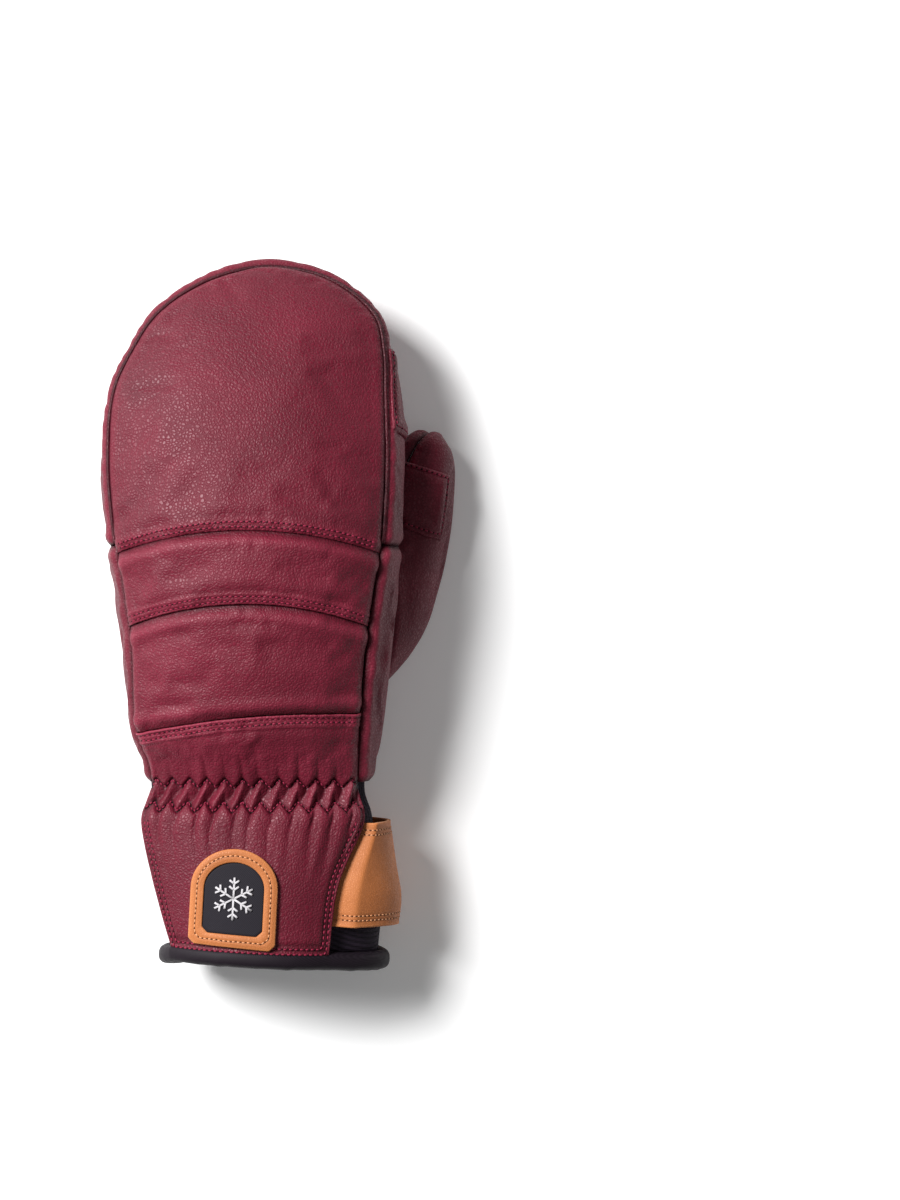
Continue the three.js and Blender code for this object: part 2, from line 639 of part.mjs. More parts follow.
// ---- the thumb's pieces -------------------------------------------------------------------------
const THUMB_SEAMS = [THREE.MathUtils.degToRad(-112), THREE.MathUtils.degToRad(116)];
const THUMB_WADDING = 2.2;
const THUMB_WAD = under(SHELL, THUMB_WADDING);
const THUMB_LINING = under(THUMB_WAD, LINING);

const bodyPlug = solidOf(plug((a, b) => bodyPoint(4 * a, b, -PLY_GAP), 48, 26, [0]));
const thumbPlug = solidOf(plug((a, b) => thumbPoint(2 * Math.PI * a, b, -PLY_GAP), 24, 16, [0, 1]));

const THUMB_REACH = [0.06, 0.985]; // shares of the axis that the leather covers

function thumbPanel(angles, columns) {
  const inset = half / THUMB_WIDTH;
  return sheet((a, b, face) => {
    const angle = mix(angles[0] + inset, angles[1] - inset, a);
    return thumbPoint(angle, mix(...THUMB_REACH, b), SHELL[face]);
  }, columns, 12);
}

function thumbBag(depths, to) {
  const from = 0.1;
  const rounding = 0.012; // the inner face ends a little earlier
  const place = (a, b, face) => thumbPoint(2 * Math.PI * a, mix(from, to - rounding * face, b), depths[face]);
  return sheet(place, 14, 10, { ring: true });
}

const thumbOuterPanel = () => cut(thumbPanel([THUMB_SEAMS[0], THUMB_SEAMS[1]], 14), bodyPlug);
const thumbInnerPanel = () => cut(thumbPanel([THUMB_SEAMS[1], THUMB_SEAMS[0] + 2 * Math.PI], 9), bodyPlug);
const thumbWadding = () => cut(thumbBag(THUMB_WAD, 0.93), bodyPlug);
const thumbLiner = () => cut(thumbBag(THUMB_LINING, 0.92), bodyPlug);

// The patch on the back of the thumb, between two angles and two shares of its length.
function thumbPatch() {
  const angles = [0.55, 2.3];
  const reach = [0.44, 0.66];
  return sheet((a, b, face) => {
    const angle = mix(angles[0], angles[1], a);
    const s = mix(reach[0], reach[1], b);
    return thumbPoint(angle, s, OUTSIDE[1 - face]);
  }, 8, 5);
}

// ---- the assembly -------------------------------------------------------------------------------
const finish = (color, roughness, metalness = 0) => new THREE.MeshStandardMaterial({ color, roughness, metalness });
const wineLeather = finish(0x6f2036, 0.55);
const tanLeather = finish(0xc97a45, 0.6);
const blackNeoprene = finish(0x1c1824, 0.85);
const blackHook = finish(0x141318, 0.9);
const wovenLabel = finish(0x24222a, 0.8);
const whiteWadding = finish(0xe6e4de, 0.95);
const greyFoam = finish(0x9a9a98, 0.9);
const fleece = finish(0x2a2730, 0.95);
const elastic = finish(0x26242a, 0.8);

const fromThumb = (geometry) => cut(geometry, thumbPlug);

const pieces = [
  ["back_finger_panel", backFingerPanel(), wineLeather],
  ["knuckle_band_upper", knuckleBand(seamMid, seamTop), wineLeather],
  ["knuckle_band_lower", knuckleBand(seamLow, seamMid), wineLeather],
  ["back_cuff_panel", backCuffPanel(), wineLeather],
  ["palm_panel", fromThumb(palmPanel()), wineLeather],
  ["fingertip_gusset", fingertipGusset(), wineLeather],
  ["outer_side_gusset", sideGusset((t) => 4 - t, 3.5), wineLeather],
  ["thumb_side_gusset", fromThumb(sideGusset((t) => 1 + t, 1.5)), wineLeather],
  ["index_patch", indexPatch(), wineLeather],
  ["thumb_outer_panel", thumbOuterPanel(), wineLeather],
  ["thumb_inner_panel", thumbInnerPanel(), wineLeather],
  ["thumb_patch", cut(thumbPatch(), bodyPlug), wineLeather],
  ["cuff_sleeve", cuffSleeve(), blackNeoprene],
  ["cuff_binding", cuffBinding(), blackNeoprene],
  ["wrist_elastic_back", wristElastic([0.04, 0.96]), elastic],
  ["wrist_elastic_palm", wristElastic([2.04, 2.96]), elastic],
  ["strap_base", strapBase(), tanLeather],
  ["strap_tab", strapTab(), tanLeather],
  ["strap_hook_patch", hookPatch(), blackHook],
  ["cuff_loop_patch", loopPatch(), blackHook],
  ["palm_pull_strip", pullStrip(), tanLeather],
  ["badge_frame", badgeFrame(), tanLeather],
  ["badge_label", badgeLabel(), wovenLabel],
  ["knuckle_pad_upper", knucklePad(seamMid, seamTop), greyFoam],
  ["knuckle_pad_lower", knucklePad(seamLow, seamMid), greyFoam],
  ["back_wadding", backWadding(), whiteWadding],
  ["palm_wadding", fromThumb(palmWadding()), whiteWadding],
  ["hand_lining", fromThumb(handLining()), fleece],
  ["thumb_wadding", thumbWadding(), whiteWadding],
  ["thumb_lining", thumbLiner(), fleece],
];

const mitten = new THREE.Group();
for (const [name, geometry, material] of pieces) {
  const mesh = new THREE.Mesh(geometry, material);
  mesh.name = name;
  mitten.add(mesh);
}

// The origin is under the middle of the whole mitten, on the table.
const box = new THREE.Box3().setFromObject(mitten);
const middle = box.getCenter(new THREE.Vector3());
mitten.position.set(-middle.x, -middle.y, -box.min.z);

export default mitten;
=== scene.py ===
"""The looks of a ski mitten for the left hand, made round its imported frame: a leather shell sewn from panels,
gathered at the wrist, with a neoprene cuff and a tan closing strap. Lengths are millimetres, and become
metres where a mesh is made."""
import math

import bmesh
import bpy
import numpy as np
from mathutils import Matrix, Vector
from mathutils.bvhtree import BVHTree


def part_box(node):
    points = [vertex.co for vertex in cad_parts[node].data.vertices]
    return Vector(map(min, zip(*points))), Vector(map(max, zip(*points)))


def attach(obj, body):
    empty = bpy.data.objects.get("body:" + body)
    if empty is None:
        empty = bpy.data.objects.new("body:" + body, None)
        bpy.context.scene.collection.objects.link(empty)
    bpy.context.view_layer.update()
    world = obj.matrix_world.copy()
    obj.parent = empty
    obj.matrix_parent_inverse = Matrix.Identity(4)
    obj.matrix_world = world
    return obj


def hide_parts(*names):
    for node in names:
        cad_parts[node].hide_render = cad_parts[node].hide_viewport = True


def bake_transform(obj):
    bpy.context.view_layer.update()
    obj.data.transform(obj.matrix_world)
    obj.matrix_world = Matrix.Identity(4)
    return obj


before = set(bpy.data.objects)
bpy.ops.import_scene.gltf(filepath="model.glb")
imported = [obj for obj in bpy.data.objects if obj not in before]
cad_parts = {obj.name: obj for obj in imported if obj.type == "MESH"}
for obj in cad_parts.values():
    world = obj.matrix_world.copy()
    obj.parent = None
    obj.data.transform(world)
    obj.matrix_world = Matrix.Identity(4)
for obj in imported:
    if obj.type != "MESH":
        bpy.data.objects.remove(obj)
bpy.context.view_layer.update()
MM = 0.001
scene = bpy.context.scene


# ---- the last: the padded hand's own shape --------------------------------------------------------
# Each row, from the cuff's mouth to the fingertips: the back seam's left and right points, the palm seam's
# left and right points, the crown's and the belly's heights, and how far the left and right sides bulge.
ROWS = np.array([
    [-41, -61, 44, 22, -64, 49, -42, -62, 14, 35, -62, 14, 57, 3, 5, 16],
    [-48, -36, 44, 26, -36, 50, -47, -36, 15, 37, -36, 15, 57, 3, 4, 15],
    [-53, -12, 43, 36, -12, 46, -49, -12, 16, 38, -12, 18, 55, 5, 3, 6],
    [-50, 0, 41, 34, 0, 44, -46, 0, 18, 36, 0, 22, 51, 8, 3, 4],
    [-51, 12, 44, 34.5, 12, 47, -48, 12, 18, 38, 12, 24, 56, 8, 3, 4],
    [-55.5, 28, 50, 35, 28, 52, -53, 28, 16, 40, 28, 26, 63, 8, 3.5, 6],
    [-57.3, 65, 54, 38.4, 65, 57, -56, 65, 14, 43, 65, 29, 70, 6, 5, 7],
    [-63, 100, 54, 43.8, 100, 58, -61, 100, 12, 45, 100, 29, 72, 3, 5, 6.5],
    [-66, 132, 51, 45.5, 132, 54, -63, 132, 10, 45, 132, 24, 68, -2, 4.5, 6.5],
    [-64.5, 158, 47, 45, 158, 48, -58, 154, 8, 41.5, 154, 16, 61, -3, 4.5, 6],
    [-57.5, 176, 43, 44.5, 176, 44, -49, 171, 7, 35, 171, 11, 54, -3, 5, 6],
    [-46, 193, 39, 40, 192, 39, -36, 185, 7, 25, 184, 9, 46, -1, 6, 6.5],
    [-26, 206, 35, 22, 206, 35, -21, 193.5, 7.5, 10, 192.5, 8.5, 38, 4, 7.5, 7.5],
    [-2.5, 211, 33, -2.5, 211, 33, -5.5, 197, 8, -5.5, 197, 8, 33, 8, 8.5, 8.5],
], float)
TIP = len(ROWS) - 1
BELLY_SKEW = 0.4
BACK_FULLNESS = 2.3
PALM_FULLNESS = 2.5
THUMB_ROOT = np.array([17, 36, 26], float)
ROOT_NARROW, ROOT_REACH = 0.55, (0.02, 0.3)
LINE_PITCH = 0.6
# Each section of the thumb: the centre from the root, the half width and the half height.
THUMB = np.array([
    [0, 0, 0, 28, 17], [10, 18, -6, 28, 18], [23, 44, -10, 24, 16.5], [33.5, 68, -12.5, 18.5, 13.4],
    [38.5, 86, -12.5, 16, 13], [42.5, 99, -12.5, 12.5, 11.5], [44.5, 106.5, -12, 7.5, 8],
    [45.3, 110, -12, 0.6, 0.8],
], float)
# The wrist line in the frame: the middle of the elastic under the back, and of the last's own width.
WRIST = np.array([-1.24, sum(corner.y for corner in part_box("wrist_elastic_back")) / 2 / MM, 0])


def unit(vectors):
    return vectors / (np.linalg.norm(vectors, axis=-1, keepdims=True) + 1e-12)


def mix(a, b, share):
    return a + (b - a) * share


def smooth(x, low, high):
    t = np.clip((x - low) / (high - low), 0, 1)
    return t * t * (3 - 2 * t)


def bell(x, centre, width):
    return np.exp(-(((x - centre) / width) ** 2))


def catmull(points, t):
    """Points on a uniform Catmull-Rom curve, at shares t of its length."""
    spans = len(points) - 1
    place = np.clip(t, 0, 1) * spans
    first = np.minimum(place.astype(int), spans - 1)
    w = (place - first)[:, None]
    ends = np.vstack([2 * points[0] - points[1], points, 2 * points[-1] - points[-2]])
    a, b, c, d = (ends[first + k] for k in range(4))
    return 0.5 * (2 * b + (c - a) * w + (2 * a - 5 * b + 4 * c - d) * w**2 + (3 * (b - c) + d - a) * w**3)


BACK_SEAM = np.vstack([ROWS[:, 0:3], ROWS[-2::-1, 3:6]])
PALM_SEAM = np.vstack([ROWS[:, 6:9], ROWS[-2::-1, 9:12]])


def dome(u, peak, fullness):
    reach = np.where(u < peak, (peak - u) / peak, (u - peak) / (1 - peak))
    return 1 - np.clip(reach, 0, 1) ** fullness


def side_points(left, t, v):
    """One side between the back seam (t = 0) and the palm seam (t = 1), bulging away from the hand."""
    p = v / 2 if left else 1 - v / 2
    top, low = catmull(BACK_SEAM, p), catmull(PALM_SEAM, p)
    travel = catmull(BACK_SEAM, p + 1e-4) - catmull(BACK_SEAM, p - 1e-4)
    outward = unit(np.stack([-travel[:, 1], travel[:, 0], 0 * t], 1))
    control = (top + low) / 2 + outward * 2 * catmull(ROWS[:, 14:16], v)[:, :1 if left else 2][:, -1:]
    t = t[:, None]
    return top * (1 - t) ** 2 + control * 2 * t * (1 - t) + low * t**2


def across_points(seam, u, v, height, peak, fullness):
    left, right = catmull(seam, v / 2), catmull(seam, 1 - v / 2)
    points = mix(left, right, u[:, None])
    middle = mix(left[:, 2], right[:, 2], peak)
    points[:, 2] += (height - middle) * dome(u, peak, fullness)
    return points


def body(turn, v):
    """Once round the mitten: turn 0 to 1 across the back, 1 to 2 down the thumb side, 2 to 3 across the palm
    from the thumb side, 3 to 4 up the little finger's side. v runs from the cuff's mouth to the tip."""
    turn, v = np.broadcast_arrays(np.asarray(turn, float) % 4, np.clip(np.asarray(v, float), 0, 1))
    shape, turn, v = turn.shape, turn.ravel(), v.ravel()
    crown, belly = catmull(ROWS[:, 12:14], v).T
    back = across_points(BACK_SEAM, np.clip(turn, 0, 1), v, crown, 0.5, BACK_FULLNESS)
    palm = across_points(PALM_SEAM, np.clip(3 - turn, 0, 1), v, belly, BELLY_SKEW, PALM_FULLNESS)
    palm[:, 2] = np.maximum(palm[:, 2], 0)
    thumb_side = side_points(False, np.clip(turn - 1, 0, 1), v)
    outer_side = side_points(True, np.clip(4 - turn, 0, 1), v)
    which = turn.astype(int)[:, None]
    points = np.select([which == 0, which == 1, which == 2], [back, thumb_side, palm], outer_side)
    return (points + WRIST).reshape(shape + (3,))


def body_normal(turn, v):
    turn, v = np.broadcast_arrays(np.asarray(turn, float), np.minimum(v, 0.985))
    step = 0.004
    across = body(turn + step, v) - body(turn - step, v)
    return unit(np.cross(across, body(turn, v + step) - body(turn, v - step)))


def layer(turn, v, depth):
    """Points that far under the leather's outer face."""
    return body(turn, v) - body_normal(turn, v) * np.asarray(depth, float)[..., None]


def row_at(turn, y):
    """The row at which the surface, at that turn, is that far from the wrist line."""
    turn, y = np.broadcast_arrays(np.asarray(turn, float), np.asarray(y, float))
    low, high = np.zeros(turn.shape), np.ones(turn.shape)
    for _ in range(20):
        middle = (low + high) / 2
        below = body(turn, middle)[..., 1] - WRIST[1] < y
        low, high = np.where(below, middle, low), np.where(below, high, middle)
    return (low + high) / 2


def thumb(angle, s, depth=0.0):
    """The thumb round its bent axis: angle 0 is the outer side, a quarter turn is up."""
    angle, s = np.broadcast_arrays(np.asarray(angle, float), np.clip(np.asarray(s, float), 0, 1))
    shape, angle, s = angle.shape, angle.ravel(), s.ravel()
    section = catmull(THUMB, s)
    travel = unit(catmull(THUMB, s + 1e-3)[:, :3] - catmull(THUMB, s - 1e-3)[:, :3])
    aside = unit(np.stack([travel[:, 1], -travel[:, 0], 0 * s], 1))
    tucked = mix(ROOT_NARROW, 1, smooth(s, *ROOT_REACH))[:, None]  # the root narrows as it goes into the hand
    wide, high = section[:, 3:4] * tucked - depth, section[:, 4] - depth
    points = section[:, :3] + THUMB_ROOT + aside * wide * np.cos(angle)[:, None]
    points[:, 2] = np.maximum(points[:, 2] + high * np.sin(angle), 0)
    return (points + WRIST).reshape(shape + (3,))


def grid_normals(points):
    """Unit normals of a grid of points, columns across and rows along."""
    return unit(np.cross(np.gradient(points, axis=1), np.gradient(points, axis=0)))


# ---- smooth random fields ---------------------------------------------------------------------
def field(points, size, seed):
    """Smooth noise from -1 to 1 with features about that size, at any number of dimensions."""
    points = np.asarray(points, float)
    points = points[..., None] if points.ndim < 2 else points
    cell = np.floor(points / size).astype(np.int64)
    w = points / size - cell
    w = w * w * (3 - 2 * w)
    total = 0
    for corner in np.ndindex(*(2,) * points.shape[-1]):
        key = np.full(points.shape[:-1], seed * 7919 + 17, np.int64)
        for axis, step in enumerate(corner):
            key = (key * 73856093 + (cell[..., axis] + step) * (19349663 + 83492 * axis)) % 2147483647
        key = (key * 48271 + 11) % 2147483647
        key = (key ^ (key >> 13)) * 16807 % 2147483647
        share = np.prod([w[..., k] if step else 1 - w[..., k] for k, step in enumerate(corner)], axis=0)
        total = total + share * (key / 1073741823.5 - 1)
    return total


# ---- seams: lines on the surface, and what the leather does beside them ------------------------------
SEAM_ARCH = 9
TONGUE_SIDE, TONGUE_END, TONGUE_ROUNDNESS = 11, 41, 0.8
GUSSET_JOIN = 98
WRIST_END = 4
PANEL_END = 1 - 0.08 / TIP
STITCH_PITCH = 2.25
LAP_ROWS = (1.3, 3.3)
EDGE_ROWS = (1.6, 3.6)


def seam_top(u):
    return 95 + SEAM_ARCH * (1 - (2 * u - 1) ** 2)


def seam_mid(u):
    return 66 + SEAM_ARCH * (1 - (2 * u - 1) ** 2)


def seam_low(u):
    return 24 + 8 * np.sin(math.pi / 2 * np.minimum(1, 1.3 * u))


def tongue(turn):
    across = np.sin(math.pi * np.clip(turn - 2, 0, 1)) ** TONGUE_ROUNDNESS
    return -TONGUE_SIDE - (TONGUE_END - TONGUE_SIDE) * across


def level(y):
    """The same distance from the wrist at every turn."""
    return lambda turn: y + 0 * turn


def spaced(points, pitch=LINE_PITCH):
    """Points every pitch along a line, and the distance of each from its start."""
    length = np.concatenate([[0], np.cumsum(np.linalg.norm(np.diff(points, axis=0), axis=1))])
    at = np.linspace(0, length[-1], max(2, round(length[-1] / pitch) + 1))
    return np.stack([np.interp(at, length, points[:, k]) for k in range(3)], 1), at


def cross_line(height, turns=(0, 1)):
    turn = np.linspace(*turns, 160)
    return spaced(body(turn, row_at(turn, height(turn))))


def long_line(turns, low):
    """Along the seam at the first turn from that distance, round the fingertips and back at the second."""
    up = np.linspace(row_at(turns[0], low), 1, 300)
    down = np.linspace(1, row_at(turns[1], low), 300)
    return spaced(np.vstack([body(turns[0], up), body(turns[1], down)]))


BACK_LINE = long_line((0, 1), 0)
PALM_LINE = long_line((3, 2), 0)
TOP_LINE, MID_LINE, LOW_LINE = cross_line(seam_top), cross_line(seam_mid), cross_line(seam_low)
JOINS = [cross_line(level(GUSSET_JOIN), turns) for turns in ((1, 2), (3, 4))]


def nearest(points, line):
    """How far each point is from the line, and how far along the line that is."""
    on, at = line
    far, where = np.empty(len(points)), np.empty(len(points))
    for first in range(0, len(points), 4000):
        part = points[first:first + 4000]
        gap = ((part[:, None, :] - on[None]) ** 2).sum(2)
        best = gap.argmin(1)
        far[first:first + 4000] = np.sqrt(gap[np.arange(len(part)), best])
        where[first:first + 4000] = at[best]
    return far, where


def puckers(far, where, seed, reach=9, size=5.5):
    """Short folds square to a seam, drawn in by its stitches."""
    drift = where + 1.5 * field(far, 6, seed + 5)
    fold = field(drift, size, seed) + 0.5 * field(drift, size / 2.2, seed + 1)
    return fold * np.exp(-far / reach) * (1 - 0.6 * np.exp(-far / 1.5))


def closed_seam(far, where, seed, ridge=0.45):
    """Both edges turned in: the leather rolls down into a narrow line, with a soft ridge beside it."""
    roll = np.exp(-far / 1.5)
    height = -1.9 * roll + ridge * bell(far, 3.6, 2.6) + 0.12 * puckers(far, where, seed)
    # The tone is painted shade down in the line and a painted highlight on the ridge.
    return height, -0.9 * np.exp(-far / 1.0) + 0.5 * ridge * bell(far, 2.8, 1.8)


def rolled_seam(far, where, seed):
    """A closed seam whose side stands up as a rounded ridge."""
    return closed_seam(far, where, seed, 1.15)


def lap_over(far, where, seed, rows=LAP_ROWS, welt=0.0):
    """A folded edge lying on the next panel, sewn down in two rows."""
    groove = sum(bell(far, row, 0.55) for row in rows)
    raised = 1 - smooth(far, rows[1] + 0.8, rows[1] + 2.4)
    height = 0.75 * raised - 0.5 * groove + welt * bell(far, 0.5, 0.8) - 0.5 * bell(far, 0, 0.35)
    height = height + 0.5 * bell(far, 8.5, 3.5) * (1 + 0.5 * field(where, 8, seed + 2))
    height = height + 0.42 * puckers(far, where, seed)
    # The tone is a painted highlight on the raised, folded edge and painted shade in the stitch grooves.
    return height, 0.35 * raised - 0.5 * groove + 0.5 * (welt + 0.4) * bell(far, 0.5, 0.6)


def welted(far, where, seed):
    return lap_over(far, where, seed, EDGE_ROWS, 0.8)


def lapped(far, where, seed, edge=-0.5):
    """The panel that goes on under a folded edge, and swells beside it."""
    height = edge * np.exp(-far / 1.2) + 1.1 * bell(far, 4.6, 3.0) + 0.34 * puckers(far, where, seed)
    # The tone is painted shade under the folded edge and a painted highlight on the swell beside it.
    return height, -0.95 * np.exp(-far / 1.1) + 0.35 * bell(far, 4.2, 2.4)


def under_welt(far, where, seed):
    return lapped(far, where, seed, 0.2)


def cut_edge(far, where, seed):
    """A raw edge with two rows of stitches in from it."""
    groove = sum(bell(far, row, 0.6) for row in EDGE_ROWS)
    height = -0.42 * groove + 0.25 * bell(far, 0.3, 0.9) + 0.15 * bell(far, 6, 2)
    height = height + 0.25 * puckers(far, where, seed, 7)
    # The tone is painted shade in the stitch grooves, and lighter along the raw edge.
    return height, -0.4 * groove + 0.35 * bell(far, 0.2, 0.6)


def relief(points, seams):
    """Height and tone at each point from the seams round its panel."""
    height, tone = np.zeros(len(points)), np.zeros(len(points))
    for seed, (line, profile) in enumerate(seams):
        rise, shade = profile(*nearest(points, line), 13 * seed + 3)
        height, tone = height + rise, tone + shade
    return height, tone


# ---- the padding: how far it pushes the leather out between the seams -----------------------------------
def plump(rest, pinned):
    """How far each point of a grid of cloth over the padding moves, in mm, when it is held at its seams."""
    rows, columns = rest.shape[:2]
    bm = bmesh.new()
    bmesh.ops.create_grid(bm, x_segments=columns - 1, y_segments=rows - 1, size=0.5)
    flat = np.array([vert.co[:2] for vert in bm.verts]) + 0.5
    column = np.rint(flat[:, 0] * (columns - 1)).astype(int)
    row = np.rint(flat[:, 1] * (rows - 1)).astype(int)
    for vert, point in zip(bm.verts, rest[row, column] * MM):
        vert.co = point
    mesh = bpy.data.meshes.new("padding_cloth")
    bm.to_mesh(mesh)
    bm.free()
    cloth = bpy.data.objects.new("padding_cloth", mesh)
    scene.collection.objects.link(cloth)
    held = cloth.vertex_groups.new(name="held")
    for index, weight in enumerate(pinned[row, column]):
        held.add([index], float(weight), "REPLACE")
    settings = cloth.modifiers.new("Cloth", "CLOTH").settings
    settings.vertex_group_mass = "held"
    settings.quality = 6
    settings.mass = 0.2
    settings.tension_stiffness = settings.compression_stiffness = 25
    settings.shear_stiffness = 12
    settings.bending_stiffness = 1.5
    settings.use_pressure = True
    settings.uniform_pressure_force = 4
    settings.shrink_min = -0.008
    settings.effector_weights.gravity = 0
    cache = cloth.modifiers["Cloth"].point_cache
    cache.frame_start, cache.frame_end = 1, 20
    for frame_number in range(1, 21):
        scene.frame_set(frame_number)
    settled = cloth.evaluated_get(bpy.context.evaluated_depsgraph_get())
    moved = np.empty(len(flat) * 3)
    settled.data.vertices.foreach_get("co", moved)
    away = np.zeros_like(rest)
    away[row, column] = moved.reshape(-1, 3) / MM - rest[row, column]
    bpy.data.objects.remove(cloth)
    scene.frame_set(1)
    normals = grid_normals(rest)
    lift = (away * normals).sum(2, keepdims=True)
    away += normals * (np.maximum(lift, -0.2) - lift)  # the padding under it doesn't let the leather sink
    far = np.linalg.norm(away, axis=2, keepdims=True)
    return away * np.minimum(1, 2.6 / np.maximum(far, 1e-6))


def sample(grid, x, y):
    """A grid's value at shares x across and y along, smoothly between its points."""
    rows, columns = grid.shape[:2]
    values = 0
    px, py = np.clip(x, 0, 1) * (columns - 1), np.clip(y, 0, 1) * (rows - 1)
    ix, iy = np.minimum(px.astype(int), columns - 2), np.minimum(py.astype(int), rows - 2)
    wx, wy = px - ix, py - iy

    def taps(w):
        return (0.5 * (-w + 2 * w**2 - w**3), 0.5 * (2 - 5 * w**2 + 3 * w**3),
                0.5 * (w + 4 * w**2 - 3 * w**3), 0.5 * (w**3 - w**2))
    for j, along in enumerate(taps(wy)):
        for i, across in enumerate(taps(wx)):
            at = grid[np.clip(iy + j - 1, 0, rows - 1), np.clip(ix + i - 1, 0, columns - 1)]
            values = values + at * (along * across)[:, None]
    return values


SIM_START = row_at(0.5, 9)


def body_padding():
    turn, v = np.meshgrid(np.linspace(0, 4, 121), np.linspace(SIM_START, 0.992, 76))
    rest = body(turn % 4, v)
    points = rest.reshape(-1, 3)
    held = np.zeros(len(points))
    for line in (BACK_LINE, PALM_LINE, TOP_LINE, MID_LINE, LOW_LINE, *JOINS):
        held = np.maximum(held, 1 - smooth(nearest(points, line)[0], 1.8, 4))
    held = held.reshape(turn.shape)
    held[:2] = held[-2:] = 1
    held[:, 0] = held[:, -1] = 1
    return plump(rest, held)


def thumb_padding():
    angle, s = np.meshgrid(THUMB_SEAMS[0] + np.linspace(2 * math.pi, 0, 41), np.linspace(0.1, 0.985, 36))
    rest = thumb(angle, s)
    seam = np.minimum(abs(angle - THUMB_SEAMS[1]), np.minimum(angle - angle.min(), angle.max() - angle))
    held = 1 - smooth(seam, 0.12, 0.3)
    held[:4] = held[-2:] = 1
    return plump(rest, held)


THUMB_SEAMS = (math.radians(-112), math.radians(116))
BODY_PUFF = body_padding()
THUMB_PUFF = thumb_padding()


def puffed(turn, v):
    fade = smooth(v, SIM_START, SIM_START + 0.05)[:, None]
    return body(turn, v) + fade * sample(BODY_PUFF, (turn % 4) / 4, (v - SIM_START) / (0.992 - SIM_START))


def thumb_puffed(angle, s):
    share = 1 - (angle - THUMB_SEAMS[0]) / (2 * math.pi)
    return thumb(angle, s) + smooth(s, 0.1, 0.2)[:, None] * sample(THUMB_PUFF, share, (s - 0.1) / 0.885)


# ---- the gathered wrist ---------------------------------------------------------------------------
GATHER_PITCH = 7.4
UPPER_THREAD, LOWER_THREAD = (3.9, 1.8), (-5.1, 2.2)
PALM_UPPER, PALM_LOWER = (1.4, 1.6), (-4.2, 1.6)


def zigzag(phase):
    """A straight-legged wave, 1 at whole phases and -1 between them."""
    return 1 - 4 * np.abs(phase - np.rint(phase))


def fold_ridge(phase):
    """Rounded ridges at whole phases with narrow valleys between them."""
    return 1 - np.abs(2 * (phase - np.rint(phase))) ** 1.7


def gathers(phase, y, upper, lower, slant, seed):
    """Height and tone of leather drawn up by two zigzag threads at the wrist line."""
    top, foot = upper[0] + upper[1] * zigzag(phase), lower[0] + lower[1] * zigzag(phase)
    share = np.clip((top - y) / (top - foot), 0, 1)
    jitter = 0.16 * field(phase, 1.1, seed)
    amount = 1 + 0.35 * field(phase + 40, 0.9, seed + 1)
    between = (y < top) & (y > foot)
    puff = fold_ridge(phase + slant * share + 0.5 * jitter)
    leaf = 2.5 * amount * puff * np.sin(math.pi * np.clip(share, 0.02, 0.98)) ** 0.55 - 0.4
    over, below = np.maximum(y - top, 0), np.maximum(foot - y, 0)
    reach_up = 5.5 * (1 + 0.6 * field(phase + 9, 1.3, seed + 2))
    reach_down = 9 * (1 + 0.75 * field(phase + 5, 1.2, seed + 3))
    rise = 1 - np.exp(-over / 1.3)
    pocket = 1.9 * fold_ridge(phase + 0.5 + jitter) * np.exp(-over / reach_up)
    pocket = (pocket + 0.5 * np.exp(-over / 9)) * rise
    drop = 1 - np.exp(-below / 1.3)
    fan = phase * (1 - 0.002 * below) + 0.25 * field(below, 9, seed + 4)
    arch = 2.4 * amount * fold_ridge(fan + jitter) * np.exp(-below / reach_down)
    arch = (arch + 0.4 * np.exp(-below / 12)) * drop
    height = np.where(between, leaf, np.where(y >= top, pocket - 0.4, arch - 0.4))
    thread = bell(y, top, 0.7) + bell(y, foot, 0.7)
    height = height - 0.7 * thread
    fade = np.exp(-np.maximum(over - 10, 0) / 4) * np.exp(-np.maximum(below - 20, 0) / 6)
    height = (height + 0.4) * fade - 0.4 * np.exp(-np.maximum(over, below) / 5)
    # The tone is painted shade in the folds' valleys and along the threads, and a painted highlight on the
    # folds' ridges.
    tone = (0.42 * height / 2 - 0.1) * np.exp(-np.maximum(over, below) / 10) - 0.45 * thread
    return height, tone


def wrist_phase(turns, centre):
    """The gathers' phase against the turn: one whole phase each pitch of leather along the wrist line."""
    turn = np.linspace(*turns, 400)
    line = body(turn, row_at(turn, 0 * turn))
    length = np.concatenate([[0], np.cumsum(np.linalg.norm(np.diff(line, axis=0), axis=1))])
    folds = round((length[-1]) / GATHER_PITCH)
    return lambda at: np.interp(at, turn, length / length[-1] * folds) + centre


BACK_PHASE, PALM_PHASE = wrist_phase((0, 1), 0.5), wrist_phase((2, 3), 0.5)


# ---- making pieces ----------------------------------------------------------------------------
faces = {}


def new_piece(name, bm, materials, solid=0.0, rim=False):
    mesh = bpy.data.meshes.new(name)
    bm.to_mesh(mesh)
    bm.free()
    mesh.polygons.foreach_set("use_smooth", [True] * len(mesh.polygons))
    for material in materials:
        mesh.materials.append(material)
    piece = bpy.data.objects.new(name, mesh)
    scene.collection.objects.link(piece)
    if solid:
        thick = piece.modifiers.new("Thickness", "SOLIDIFY")
        thick.thickness = solid * MM
        thick.offset = -1
        thick.use_even_offset = False
        if rim:
            thick.material_offset_rim = 1
    return piece


